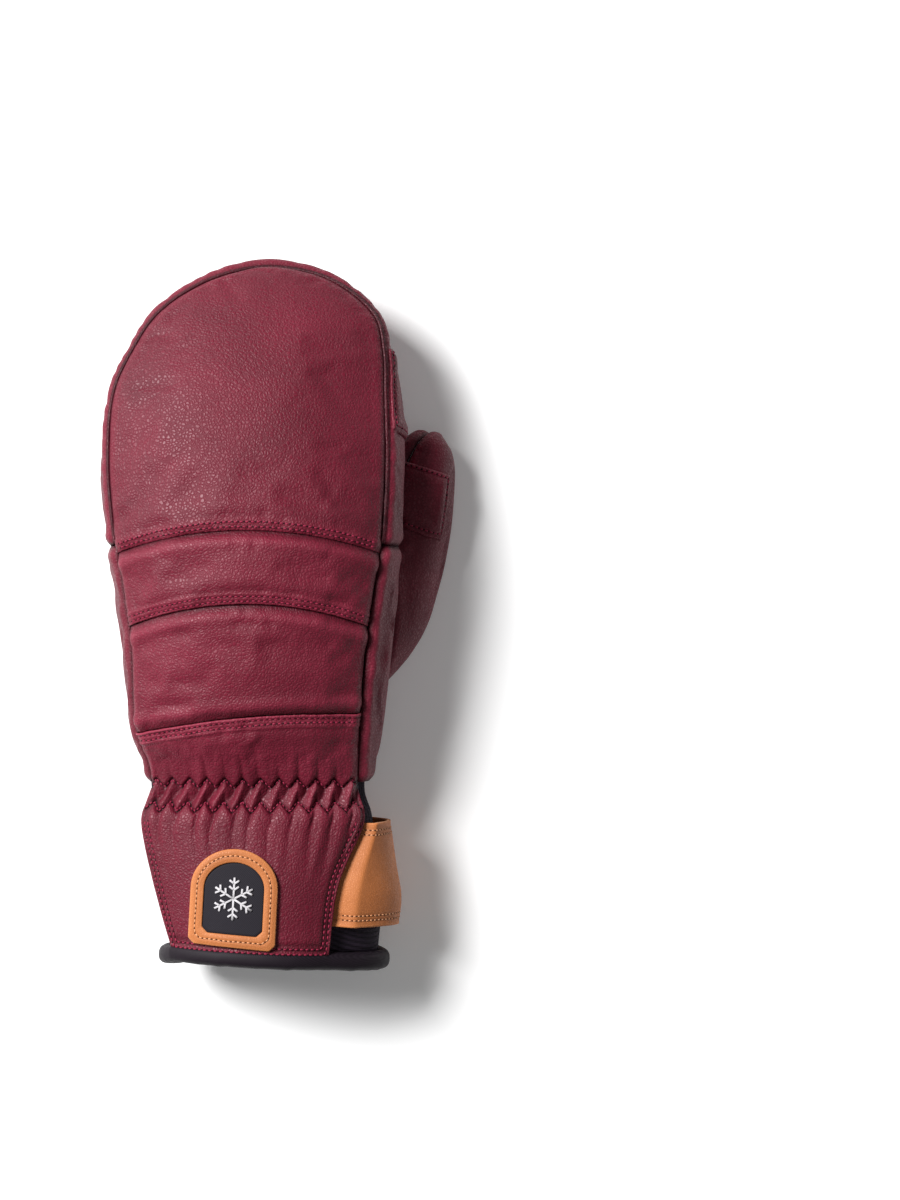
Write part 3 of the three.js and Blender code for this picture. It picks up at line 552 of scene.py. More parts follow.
def skin(name, place, columns, rows, materials, solid=1.2, rim=False, ring=False, flip=False):
    """A grid laid over a surface: place(a, b) gives the points, and the tone of the leather, at shares across
    and along."""
    bm = bmesh.new()
    bmesh.ops.create_grid(bm, x_segments=columns, y_segments=rows, size=0.5)
    share = np.array([vert.co[:2] for vert in bm.verts]) + 0.5
    points, tone = place(share[:, 0], share[:, 1])
    points = points.copy()
    points[:, 2] = np.maximum(points[:, 2], 0.05)
    layer_tone = bm.verts.layers.float.new("tone")
    for vert, point, shade in zip(bm.verts, points * MM, np.broadcast_to(tone, len(points))):
        vert.co = point
        vert[layer_tone] = shade
    if ring:
        bmesh.ops.remove_doubles(bm, verts=bm.verts, dist=3e-5)
    if flip:
        bmesh.ops.reverse_faces(bm, faces=bm.faces)
    bm.normal_update()
    faces[name] = BVHTree.FromBMesh(bm)
    return new_piece(name, bm, materials, solid, rim)


def raised(place, seams, extra=None):
    """A place for skin: the surface, displaced along its own normals by the relief of its seams."""
    def at(a, b):
        step = 0.004
        points = place(a, b)
        across = place(a + step, b) - place(a - step, b)
        normals = unit(np.cross(across, place(a, b + step) - place(a, b - step)))
        height, tone = relief(points, seams)
        height = height + 0.16 * field(points, 17, 5) + 0.05 * field(points, 7, 6)
        if extra:
            rise, shade = extra(a, b)
            height, tone = height + rise, tone + shade
        return points + normals * height[:, None], tone
    return at


def between(turns, low, high, surface=puffed):
    """Maps shares across and along onto the body between two turns and two distances from the wrist."""
    table = np.linspace(*turns, 200)
    lows = row_at(table, low(table)) if callable(low) else 0 * table + low
    highs = row_at(table, high(table)) if callable(high) else 0 * table + high

    def place(a, b):
        turn = mix(turns[0], turns[1], a)
        inside = np.clip(turn, min(turns) + 1e-6, max(turns) - 1e-6)
        v = mix(np.interp(turn, table, lows), np.interp(turn, table, highs), b)
        return surface(inside, v)
    return place


def sew(name, paths, materials, onto, pitch=STITCH_PITCH, length=0.8, thick=0.34):
    """Rows of stitches: short rounded lengths of thread, with flat dark discs between them as painted shade in
    the needle's holes.
    """
    ball = bmesh.new()
    bmesh.ops.create_uvsphere(ball, u_segments=6, v_segments=4, radius=1)
    thread = bpy.data.meshes.new("stitch")
    ball.to_mesh(thread)
    ball.free()
    bm = bmesh.new()
    trees = [faces[target] for target in onto]
    for path in paths:
        line, _ = spaced(np.asarray(path), pitch)
        for k in range(len(line) - 1):
            for hole in (False, True):
                middle = line[k] if hole else (line[k] + line[k + 1]) / 2
                hits = [tree.find_nearest(Vector(middle * MM)) for tree in trees]
                spot, normal, _, far = min((hit for hit in hits if hit[0]), key=lambda hit: hit[3])
                if far > 0.006:
                    continue
                along = Vector(line[k + 1] - line[k]).normalized()
                side = normal.cross(along).normalized()
                along = side.cross(normal)
                size = (0.42, 0.42, 0.16) if hole else (length, thick, thick * 0.85)
                turned = Matrix((along, side, normal)).transposed().to_4x4() @ Matrix.Diagonal((*size, 1))
                placed = Matrix.Translation(spot + normal * (0.02 if hole else 0.1) * MM) @ Matrix.Diagonal(
                    (MM, MM, MM, 1)) @ turned
                thread.transform(placed)
                first = len(bm.faces)
                bm.from_mesh(thread)
                thread.transform(placed.inverted())
                if hole:
                    bm.faces.ensure_lookup_table()
                    for face in bm.faces[first:]:
                        face.material_index = 1
    bpy.data.meshes.remove(thread)
    return new_piece(name, bm, materials)


def tube(name, line, radius, materials, around=8):
    """A round bead along a line of points."""
    travel = unit(np.gradient(line, axis=0))
    side = unit(np.cross(travel, [0.0, 0.0, 1.0]))
    top = np.cross(side, travel)

    def place(a, b):
        at = np.rint(b * (len(line) - 1)).astype(int)
        turn = 2 * math.pi * a[:, None]
        # The tone of 0.3 is a painted highlight over the whole bead.
        return line[at] + radius * (side[at] * np.cos(turn) - top[at] * np.sin(turn)), 0.3
    return skin(name, place, around, len(line) - 1, materials, solid=0, ring=True)


# ---- materials --------------------------------------------------------------------------------
def node_group(name, inputs, outputs):
    tree = bpy.data.node_groups.new(name, "ShaderNodeTree")
    for label, value in inputs.items():
        tree.interface.new_socket(label, in_out="INPUT", socket_type="NodeSocketFloat").default_value = value
    for label in outputs:
        tree.interface.new_socket(label, in_out="OUTPUT", socket_type="NodeSocketFloat")
    return tree, tree.nodes.new("NodeGroupInput"), tree.nodes.new("NodeGroupOutput")


def add(tree, kind, inputs=(), **settings):
    made = tree.nodes.new("ShaderNode" + kind)
    for key, value in settings.items():
        setattr(made, key, value)
    for key, value in dict(inputs).items():
        if isinstance(value, bpy.types.NodeSocket):
            tree.links.new(value, made.inputs[key])
        else:
            made.inputs[key].default_value = value
    return made


def maths(tree, operation, a, b=0.0):
    return add(tree, "Math", {0: a, 1: b}, operation=operation).outputs[0]


def pebbled():
    """Pebbles about a millimetre across with fine creases: height, cracks between them, and mottling."""
    tree, source, out = node_group(
        "pebbled_leather", {"Scale": 900.0, "Crease": 0.6}, ("Height", "Crack", "Mottle"))
    scale, depth = source.outputs["Scale"], source.outputs["Crease"]
    place = add(tree, "TexCoord").outputs["Object"]
    warp = add(tree, "TexNoise", {"Vector": place, "Scale": 500.0, "Detail": 2.0})
    bent = add(tree, "VectorMath", {0: warp.outputs["Color"], 1: (0.0012,) * 3}, operation="MULTIPLY")
    bent = add(tree, "VectorMath", {0: place, 1: bent.outputs[0]}, operation="ADD").outputs[0]
    cells = add(tree, "TexVoronoi", {"Vector": bent, "Scale": scale}, feature="DISTANCE_TO_EDGE")
    pebble = add(tree, "MapRange", {"Value": cells.outputs["Distance"], "From Max": 0.28},
                 interpolation_type="SMOOTHSTEP")
    lines = add(tree, "TexNoise", {"Vector": bent, "Scale": 95.0, "Detail": 3.0, "Roughness": 0.6})
    valley = maths(tree, "ABSOLUTE", maths(tree, "SUBTRACT", lines.outputs["Fac"], 0.5))
    crease = add(tree, "MapRange", {"Value": valley, "From Max": 0.035, "To Min": 1.0, "To Max": 0.0})
    fine = add(tree, "TexNoise", {"Vector": place, "Scale": 2600.0, "Detail": 2.0})
    height = maths(tree, "SUBTRACT", pebble.outputs[0], maths(tree, "MULTIPLY", crease.outputs[0], depth))
    height = maths(tree, "ADD", height, maths(tree, "MULTIPLY", fine.outputs["Fac"], 0.35))
    patches = add(tree, "TexNoise", {"Vector": place, "Scale": 38.0, "Detail": 4.0})
    tree.links.new(height, out.inputs["Height"])
    tree.links.new(maths(tree, "SUBTRACT", 1.0, pebble.outputs[0]), out.inputs["Crack"])
    tree.links.new(patches.outputs["Fac"], out.inputs["Mottle"])
    return tree


def woven():
    """Fine diagonal ribs crossed by finer ones: height."""
    tree, source, out = node_group("woven_rib", {"Scale": 420.0, "Cross": 0.35}, ("Height",))
    scale, cross = source.outputs["Scale"], source.outputs["Cross"]
    place = add(tree, "TexCoord").outputs["Object"]
    warp = add(tree, "TexWave", {"Vector": place, "Scale": scale, "Distortion": 0.6},
               bands_direction="DIAGONAL")
    weft = add(tree, "TexWave", {"Vector": place, "Scale": maths(tree, "MULTIPLY", scale, 1.3)},
               bands_direction="Y")
    height = maths(tree, "ADD", warp.outputs["Fac"], maths(tree, "MULTIPLY", weft.outputs["Fac"], cross))
    tree.links.new(height, out.inputs["Height"])
    return tree


def fibrous():
    """Raised fibres: height and a light and dark mask."""
    tree, source, out = node_group("fibrous_nap", {"Scale": 900.0}, ("Height", "Mask"))
    scale = source.outputs["Scale"]
    place = add(tree, "TexCoord").outputs["Object"]
    tufts = add(tree, "TexNoise", {"Vector": place, "Scale": scale, "Detail": 5.0, "Roughness": 0.75})
    clumps = add(tree, "TexVoronoi", {"Vector": place, "Scale": maths(tree, "MULTIPLY", scale, 0.6)})
    dips = maths(tree, "MULTIPLY", clumps.outputs["Distance"], 0.5)
    height = maths(tree, "SUBTRACT", tufts.outputs["Fac"], dips)
    tree.links.new(height, out.inputs["Height"])
    tree.links.new(tufts.outputs["Fac"], out.inputs["Mask"])
    return tree


PEBBLED, WOVEN, FIBROUS = pebbled(), woven(), fibrous()


def new_material(name, roughness, sheen=0.0, specular=0.5):
    material = bpy.data.materials.new(name)
    material.use_nodes = True
    shader = material.node_tree.nodes["Principled BSDF"]
    shader.inputs["Roughness"].default_value = roughness
    shader.inputs["Sheen Weight"].default_value = sheen
    shader.inputs["Specular IOR Level"].default_value = specular
    return material, material.node_tree, shader


def ramp(tree, value, colours):
    made = add(tree, "ValToRGB", {"Fac": value})
    stops = made.color_ramp.elements
    for k, colour in enumerate(colours):
        stop = stops[k] if k < 2 else stops.new(1.0)
        stop.color = (*colour, 1)
    for k, stop in enumerate(stops):
        stop.position = k / (len(colours) - 1)
    return made.outputs["Color"]


def bumped(tree, shader, height, strength, distance):
    bump = add(tree, "Bump", {"Height": height, "Strength": strength, "Distance": distance})
    tree.links.new(bump.outputs[0], shader.inputs["Normal"])


def leather(name, dark, base, light, scale, crease, strength, depth, roughness):
    """Grain leather, with painted shade down in its seams and a painted highlight where it stands up, from the
    tone attribute.
    """
    material, tree, shader = new_material(name, roughness, specular=0.34)
    grain = add(tree, "Group", node_tree=PEBBLED)
    grain.inputs["Scale"].default_value = scale
    grain.inputs["Crease"].default_value = crease
    # The tone attribute is painted shade in grooves and painted highlight on raised places, with lighter cut
    # edges; the ramp's dark and light stops are their colours, and the mottle is the leather's own uneven
    # colour.
    tone = add(tree, "Attribute", attribute_name="tone").outputs["Fac"]
    value = maths(tree, "MULTIPLY_ADD", tone, 0.5)
    value.node.inputs[2].default_value = 0.5
    speckle = maths(tree, "MULTIPLY", maths(tree, "SUBTRACT", grain.outputs["Mottle"], 0.5), 0.38)
    value = maths(tree, "ADD", value, speckle)
    value = maths(tree, "SUBTRACT", value, maths(tree, "MULTIPLY", grain.outputs["Crack"], 0.13))
    tree.links.new(ramp(tree, value, [dark, base, light]), shader.inputs["Base Color"])
    rough = add(tree, "MapRange", {"Value": grain.outputs["Crack"], "To Min": roughness - 0.06,
                                   "To Max": roughness + 0.16})
    tree.links.new(rough.outputs[0], shader.inputs["Roughness"])
    bumped(tree, shader, grain.outputs["Height"], strength, depth)
    return material


def fabric(name, dark, light, group, scale, strength, depth, roughness=0.85, sheen=0.0):
    material, tree, shader = new_material(name, roughness, sheen, 0.2)
    weave = add(tree, "Group", node_tree=group)
    weave.inputs["Scale"].default_value = scale
    shade = weave.outputs["Mask"] if "Mask" in weave.outputs else weave.outputs["Height"]
    tree.links.new(ramp(tree, shade, [dark, light]), shader.inputs["Base Color"])
    bumped(tree, shader, weave.outputs["Height"], strength, depth)
    return material


WINE = leather("wine_leather", (0.026, 0.001, 0.004), (0.134, 0.006, 0.020), (0.27, 0.026, 0.055),
               760.0, 0.4, 0.42, 0.00032, 0.5)
WINE_RAW = fabric("wine_raw_edge", (0.08, 0.006, 0.014), (0.40, 0.060, 0.085), FIBROUS, 1200.0, 0.7, 0.0005)
WINE_THREAD = fabric("wine_thread", (0.17, 0.008, 0.028), (0.36, 0.030, 0.075),
                     FIBROUS, 1500.0, 0.3, 0.0001, 0.6)
# Needle holes are flat dark discs: painted shade in the holes.
NEEDLE_HOLE = fabric("needle_hole", (0.014, 0.002, 0.005), (0.04, 0.005, 0.010),
                     FIBROUS, 900.0, 0.2, 0.0001, 0.9)
TAN = leather("tan_leather", (0.17, 0.045, 0.012), (0.50, 0.165, 0.048), (0.72, 0.30, 0.12),
              1400.0, 0.35, 0.3, 0.0002, 0.52)
TAN_RAW = fabric("tan_raw_edge", (0.26, 0.085, 0.034), (0.78, 0.40, 0.22), FIBROUS, 1300.0, 0.8, 0.0006)
TAN_THREAD = fabric("tan_thread", (0.52, 0.22, 0.10), (0.80, 0.42, 0.22), FIBROUS, 1500.0, 0.3, 0.0001, 0.6)
# Flat dark discs in the tan pieces' needle holes: painted shade.
TAN_HOLE = fabric("tan_needle_hole", (0.05, 0.015, 0.006), (0.12, 0.04, 0.016),
                  FIBROUS, 900.0, 0.2, 0.0001, 0.9)
NEOPRENE = fabric("black_neoprene", (0.007, 0.004, 0.008), (0.026, 0.017, 0.030),
                  WOVEN, 260.0, 0.5, 0.0003, 0.75)
BINDING = fabric("black_binding", (0.006, 0.003, 0.006), (0.014, 0.009, 0.014),
                 WOVEN, 700.0, 0.25, 0.00012, 0.6)
HOOK = fabric("black_hook_tape", (0.008, 0.008, 0.010), (0.045, 0.044, 0.05),
              FIBROUS, 700.0, 1.0, 0.0008, 0.8)
LABEL = fabric("woven_label", (0.006, 0.005, 0.008), (0.022, 0.019, 0.026), WOVEN, 700.0, 0.4, 0.0002, 0.7)
MOTIF = fabric("pale_label_thread", (0.42, 0.40, 0.42), (0.66, 0.64, 0.66), WOVEN, 900.0, 0.3, 0.0002, 0.7)
FLEECE = fabric("lining_fleece", (0.010, 0.009, 0.012), (0.075, 0.068, 0.085),
                FIBROUS, 500.0, 1.0, 0.0012, 0.95, 0.5)
WADDING = fabric("white_wadding", (0.55, 0.54, 0.52), (0.86, 0.85, 0.82), FIBROUS, 260.0, 1.0, 0.0015, 0.95)
FOAM = fabric("grey_foam", (0.22, 0.22, 0.22), (0.42, 0.42, 0.42), FIBROUS, 700.0, 0.6, 0.0004, 0.9)
ELASTIC = fabric("woven_elastic", (0.020, 0.018, 0.024), (0.07, 0.064, 0.08), WOVEN, 500.0, 0.5, 0.0003, 0.8)


# ---- bends between two bodies: a piece given one is left where it lies ----------------------------
FOLD = ("hand", "fingers", (0, 0.008, 0.032), (0, 0.050, 0.032))
WRIST_BEND = ("hand", "cuff", (0, -0.068, 0.031), (0, -0.088, 0.031))
THUMB_BEND = ("hand", "thumb", (0.0086, 0.005, 0.02), (0.043, 0.025, 0.02))
STRAP_BEND = ("cuff", "strap", (0.046, -0.104, 0.031), (0.046, -0.104, 0.017))


def fit(piece, where, slot=None, nodes=()):
    """Puts a piece on a body, or, given a bend between two, leaves it where it lies; either way in place of its
    CAD nodes.
    """
    if isinstance(where, str):
        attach(piece, where)
    else:
        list(where)
        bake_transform(piece)
    if nodes:
        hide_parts(*nodes)
    return piece


# ---- the thumb's base: where the thumb comes out of the hand ----------------------------------------
def thumb_base():
    bm = bmesh.new()
    bmesh.ops.create_grid(bm, x_segments=160, y_segments=120, size=0.5)
    share = np.array([vert.co[:2] for vert in bm.verts]) + 0.5
    for vert, point in zip(bm.verts, body(share[:, 0] * 3.9999, share[:, 1] * 0.99) * MM):
        vert.co = point
    bm.normal_update()
    tree = BVHTree.FromBMesh(bm)
    bm.free()
    angles, steps = np.linspace(0, 2 * math.pi, 97)[:-1], np.linspace(0.06, 0.72, 67)
    rows = []
    for angle in angles:
        out = []
        for point in thumb(angle, steps):
            spot, normal, _, _ = tree.find_nearest(Vector(point * MM))
            out.append((Vector(point * MM) - spot).dot(normal) / MM)
        inside = np.nonzero(np.array(out) < 0)[0]
        last = min(inside[-1] if len(inside) else 0, len(steps) - 2)
        gap = out[last + 1] - out[last]
        rows.append(steps[last] + (steps[1] - steps[0]) * np.clip(-out[last] / gap if gap else 0, 0, 1))
    rows = np.array(rows)
    for _ in range(3):
        rows = (np.roll(rows, 1) + 2 * rows + np.roll(rows, -1)) / 4
    return angles, rows


BASE_ANGLES, BASE_ROWS = thumb_base()
BASE_RING = thumb(np.append(BASE_ANGLES, 0), np.append(BASE_ROWS, BASE_ROWS[0]))
BASE_LINE = spaced(BASE_RING, 0.6)


# ---- the back and the gussets -------------------------------------------------------------------
LEFT_EDGE, RIGHT_EDGE = 0.002, 0.998
BACK = (LEFT_EDGE, RIGHT_EDGE)
wine = [WINE, WINE_RAW]


def panel(name, place, seams, cells, where, nodes=(), extra=None, slot="wine_leather", materials=wine, **how):
    """A sewn piece: a grid of that many cells over a place, with its seams, put on its body."""
    return fit(skin(name, raised(place, seams, extra), *cells, materials, **how), where, slot, nodes)


def closed(*lines):
    return [(line, closed_seam) for line in lines]


def band_swell(a, b):
    """The foam pad under a knuckle band rounds it, and its crown is given a painted highlight."""
    across, along = np.clip(a, 0, 1), np.clip(b, 0, 1)
    swell = np.sin(math.pi * along) ** 0.8 * np.sin(math.pi * across) ** 0.35
    return 1.5 * swell, 0.22 * swell


finger_back = panel("finger_back", between(BACK, seam_top, PANEL_END),
                    [(TOP_LINE, lap_over), *closed(BACK_LINE)], (150, 150), FOLD, ["back_finger_panel"])
band_upper = panel("band_upper", between(BACK, seam_mid, seam_top),
                   [(MID_LINE, lap_over), (TOP_LINE, lapped), *closed(BACK_LINE)],
                   (150, 44), FOLD, ["knuckle_band_upper"], band_swell)
band_lower = panel("band_lower", between(BACK, seam_low, seam_mid),
                   [(LOW_LINE, under_welt), (MID_LINE, lapped), *closed(BACK_LINE)],
                   (150, 60), "hand", ["knuckle_band_lower"], band_swell)

# Below the wrist the cuff's back leather is free, with a cut edge down each side and along the mouth.
down, up = np.linspace(row_at(0, 1), 0, 80), np.linspace(0, row_at(1, 1), 80)
FLAP_EDGE = spaced(np.vstack([body(0, down), body(np.linspace(0.01, 0.99, 120), 0), body(1, up)]))
HAND_BACK = spaced(body(0, np.linspace(row_at(0, 2), row_at(0, 40), 60)))
HAND_BACK_RIGHT = spaced(body(1, np.linspace(row_at(1, 2), row_at(1, 46), 60)))
cuff_place = between(BACK, 0.0, seam_low)


def back_gathers(a, b):
    turn = mix(*BACK, a)
    y = cuff_place(np.clip(a, 0, 1), np.clip(b, 0, 1))[:, 1] - WRIST[1]
    height, tone = gathers(BACK_PHASE(turn), y, UPPER_THREAD, LOWER_THREAD, 0.45, 21)
    # A band about 17 mm above the wrist line is also made lighter: painted light on the lower back panel.
    return height * smooth(0.5 - np.abs(a - 0.5), 0, 0.035), tone + 0.3 * bell(y, 17, 9)


panel("cuff_back", cuff_place,
      [(LOW_LINE, welted), (FLAP_EDGE, cut_edge), *closed(HAND_BACK, HAND_BACK_RIGHT)],
      (180, 190), WRIST_BEND, ["back_cuff_panel"], back_gathers, rim=True)

WRIST_TUCKS = [cross_line(level(WRIST_END), turns) for turns in ((1, 2), (3, 4))]
panel("gusset_outer", between((3.006, 3.994), level(WRIST_END), level(GUSSET_JOIN)),
      closed(BACK_LINE, PALM_LINE, JOINS[1], WRIST_TUCKS[1]), (40, 90), FOLD, ["outer_side_gusset"])
panel("gusset_thumb", between((1.006, 1.994), level(WRIST_END), level(GUSSET_JOIN)),
      [(BACK_LINE, rolled_seam), *closed(PALM_LINE, JOINS[0], WRIST_TUCKS[0], BASE_LINE)],
      (40, 90), FOLD, ["thumb_side_gusset"])
TIP_ENDS = row_at(3.5, GUSSET_JOIN), row_at(1.5, GUSSET_JOIN)


def tip_place(a, b):
    t = np.clip(b, 0.008, 0.992)
    turn = np.where(a < 0.5, 4 - t, 1 + t)
    return puffed(turn, np.where(a < 0.5, mix(TIP_ENDS[0], 1, 2 * a), mix(1, TIP_ENDS[1], 2 * a - 1)))


def tip_back_seam(far, where, seed):
    return closed_seam(far, where, seed, 0.9)


panel("gusset_tip", tip_place, [(BACK_LINE, tip_back_seam), *closed(PALM_LINE, *JOINS)],
      (300, 36), FOLD, ["fingertip_gusset"])

# ---- the palm ---------------------------------------------------------------------------------
PALM_SPLIT = 3.2
turns = np.linspace(2.004, 2.996, 240)
PALM_END = 2.9999  # just short of 3, so it is still on the palm and not the outer side
TONGUE_EDGE = spaced(np.vstack([
    body(2, np.linspace(row_at(2, 2), row_at(2, -TONGUE_SIDE), 20)),
    body(turns, row_at(turns, tongue(turns))),
    body(PALM_END, np.linspace(row_at(PALM_END, -TONGUE_SIDE), row_at(PALM_END, 2), 20))]))
PALM_TURNS = (2.004, 2.996)
palm_low, palm_high = (between(PALM_TURNS, tongue, level(PALM_SPLIT)),
                       between(PALM_TURNS, level(PALM_SPLIT), PANEL_END))


def palm_gathers(place):
    def at(a, b):
        turn = mix(*PALM_TURNS, a)
        y = place(np.clip(a, 0, 1), np.clip(b, 0, 1))[:, 1] - WRIST[1]
        height, tone = gathers(PALM_PHASE(turn), y, PALM_UPPER, PALM_LOWER, 0.0, 61)
        return 0.6 * height, tone
    return at


def beaded(far, where, seed):
    groove = bell(far, 2.9, 0.55) + bell(far, 4.7, 0.55)
    height = 0.6 * bell(far, 1.2, 1.0) - 0.45 * groove + 0.35 * puckers(far, where, seed)
    # The tone is a painted highlight on the bead and painted shade in the stitch grooves.
    return height, 0.4 * bell(far, 1, 0.8) - 0.4 * groove


palm_seams = [(PALM_LINE, closed_seam), (TONGUE_EDGE, cut_edge), (BASE_LINE, beaded)]
panel("palm_hand", palm_high, palm_seams, (130, 230), FOLD, ["palm_panel"], palm_gathers(palm_high))
panel("palm_tongue", palm_low, palm_seams, (130, 62), WRIST_BEND, extra=palm_gathers(palm_low), rim=True)


# ---- the thumb --------------------------------------------------------------------------------
THUMB_LINES = [spaced(thumb(angle, np.linspace(0.05, 1, 200))) for angle in THUMB_SEAMS]


def thumb_place(first, last):
    inset = 0.012

    def place(a, b):
        angle = np.clip(mix(last - inset, first + inset, a), first + inset, last - inset)
        return thumb_puffed(angle, mix(0.06, 0.999, b))
    return place


thumb_seams = closed(*THUMB_LINES, BASE_LINE)
thumb_outer = panel("thumb_outer", thumb_place(*THUMB_SEAMS), thumb_seams, (84, 120), THUMB_BEND,
                    ["thumb_outer_panel"])
panel("thumb_inner", thumb_place(THUMB_SEAMS[1], THUMB_SEAMS[0] + 2 * math.pi), thumb_seams, (50, 120),
      THUMB_BEND, ["thumb_inner_panel"])
fit(tube("thumb_bead", spaced(BASE_RING, 1.2)[0], 0.75, [WINE]), THUMB_BEND, "wine_leather")


# ---- the patches on the index finger and the thumb -------------------------------------------------
PROUD = 1.3


def outline(place, margin=0.0):
    """The edge of a patch, or a line at a share in from it."""
    run = np.linspace(margin, 1 - margin, 80)
    low, high = 0 * run + margin, 0 * run + 1 - margin
    return np.vstack([place(run, low), place(high, run), place(run[::-1], high), place(low, run[::-1])])


def index_place(a, b):
    turn, a = mix(1.06, 2.2, a), np.clip(a, 0, 1)
    v = mix(row_at(turn, 144 - 8 * a), row_at(turn, 177 - 13 * a**2), b)
    return puffed(turn, v) + PROUD * body_normal(turn, v)


def thumb_patch_place(a, b):
    angle, s = mix(2.3, 0.55, a), mix(0.44, 0.66, b)
    points = thumb_puffed(angle, s)
    along = thumb(angle, s + 0.01) - thumb(angle, s - 0.01)
    out = unit(np.cross(along, thumb(angle + 0.02, s) - thumb(angle - 0.02, s)))
    return points + PROUD * out


def patch_edge(far, where, seed):
    height = 0.7 * bell(far, 4.5, 2.5) - 0.5 * bell(far, 1.8, 0.5) - 0.9 * bell(far, 0, 0.5)
    return height, 0.3 * bell(far, 0.4, 0.5)


panel("index_leather_patch", index_place, [(spaced(outline(index_place)), patch_edge)], (60, 40), "fingers",
      ["index_patch"])
panel("thumb_leather_patch", thumb_patch_place, [(spaced(outline(thumb_patch_place)), patch_edge)], (50, 40),
      "thumb", ["thumb_patch"])

# ---- the cuff ---------------------------------------------------------------------------------
SLEEVE_DEPTH = 4.0


def ring_place(low, high, depth):
    table = np.linspace(0, 3.9999, 400)
    highs = row_at(table, high)

    def place(a, b):
        turn = 4 * a % 4
        v = mix(low, np.interp(turn, table, highs), b)
        return layer(turn, v, depth + 0 * v)
    return place


def sleeve_folds(a, b):
    y = sleeve_place(a % 1, b)[:, 1] - WRIST[1]
    phase = a * 46
    return 0.8 * fold_ridge(phase + 0.3 * field(phase, 1.3, 71)) * bell(y, 0, 11), 0.0 * a


sleeve_place = ring_place(0.002, 14.0, SLEEVE_DEPTH)
panel("neoprene_sleeve", sleeve_place, [], (280, 70), WRIST_BEND, ["cuff_sleeve"], sleeve_folds,
      "black_neoprene", [NEOPRENE], solid=2.8, ring=True)


def binding_place(a, b):
    turn, round_ = 4 * a % 4, -2 * math.pi * b
    flat = body_normal(turn, 0 * turn) * [1, 0, 1]
    inner = np.interp(turn, [0, 1, 2, 3, 4], [12, 12, 10, 10, 12])
    swell = np.sign(np.cos(round_)) * np.abs(np.cos(round_)) ** 0.6
    depth = mix(-0.8, inner, 0.5 - 0.5 * swell)
    y = 3.8 * np.sign(np.sin(round_)) * np.abs(np.sin(round_)) ** 0.75 - 2.6
    points = body(turn, 0 * turn) - unit(flat) * depth[:, None]
    points[:, 1] += y + 0.2 * field(turn * 20, 1.0, 81)
    return points, 0.0


fit(skin("rolled_binding", binding_place, 260, 28, [BINDING], solid=0, ring=True), "cuff", "black_neoprene",
    ["cuff_binding"])

STRAP_EDGES = (-53.0, -12.0)
STRAP_ROOT, TAB_SHORT, TAB_LONG = 0.84, 2.12, 2.38


def strap_surface(turn, y):
    v = row_at(turn, y)
    return layer(turn, v, mix(3.4, -1.7, smooth(turn, 1, 1.12)) - 1.4)


def tab_end(b):
    return mix(TAB_LONG, TAB_SHORT, b)


def strap_place(a, b):
    return strap_surface(mix(STRAP_ROOT, tab_end(np.clip(b, 0, 1)), a), mix(*STRAP_EDGES, b))


share = np.linspace(0, 1, 200)
STRAP_LINE = spaced(np.vstack([strap_place(share, 0 * share), strap_place(1 + 0 * share, share),
                               strap_place(share[::-1], 1 + 0 * share)]))


def strap_edge(far, where, seed):
    groove = bell(far, 2.7, 0.5) + bell(far, 4.6, 0.5)
    # The tone is painted shade in the stitch grooves, and lighter along the raw edge.
    return 0.25 * bell(far, 0.2, 0.7) - 0.22 * groove, 0.45 * bell(far, 0, 0.7) - 0.25 * groove


def strap_bow(a, b):
    return 0.9 * np.sin(math.pi * np.clip(b, 0, 1)) ** 0.8 * smooth(a, 0.15, 0.4), 0.0 * a


tan = [TAN, TAN_RAW]
panel("closing_strap", strap_place, [(STRAP_LINE, strap_edge)], (130, 62), STRAP_BEND,
      ["strap_base", "strap_tab"], strap_bow, "tan_leather", tan, solid=1.4, rim=True)


def hook_place(a, b):
    turn = mix(1.95, tab_end(b) - 0.012, a)
    return layer(turn, row_at(turn, mix(STRAP_EDGES[0] + 3, STRAP_EDGES[1] - 3, b)), -1.4 + 0 * turn), 0.0


def loop_place(a, b):
    turn = mix(1.9, 2.3, a)
    return layer(turn, row_at(turn, mix(STRAP_EDGES[0] + 4, STRAP_EDGES[0] + 17, b)), 2.0 + 0 * turn), 0.0


fit(skin("hook_patch", hook_place, 30, 30, [HOOK], solid=1.1), "strap", "black_hook", ["strap_hook_patch"])
fit(skin("loop_patch", loop_place, 30, 14, [HOOK], solid=1.2), "cuff", "black_hook", ["cuff_loop_patch"])
PULL_TURNS = (2.395, 2.645)


def pull_place(a, b):
    turn = mix(*PULL_TURNS, a)
    return layer(turn, mix(0.002, row_at(turn, -35), b), 2.0 - 0.8 * np.sin(math.pi * np.clip(a, 0, 1)))


PULL_LINES = [(spaced(pull_place(0 * share + side, share)), strap_edge) for side in (0, 1)]
panel("pull_strip", pull_place, PULL_LINES, (36, 40), "cuff", ["palm_pull_strip"], slot="tan_leather",
      materials=tan, rim=True)

# ---- the badge ----------------------------------------------------------------------------------
BADGE_CENTRE = (-15.0, -41.0)
BADGE_SIZE = (34.0, 39.0)
BADGE_MARGIN = 5.2
BADGE_TILT = math.radians(-3)


def on_back(x, y, depth):
    v = row_at(0.5, y)
    left, right = (body(turn, v)[..., 0] - WRIST[0] for turn in (0, 1))
    return layer((x - left) / (right - left), v, depth)


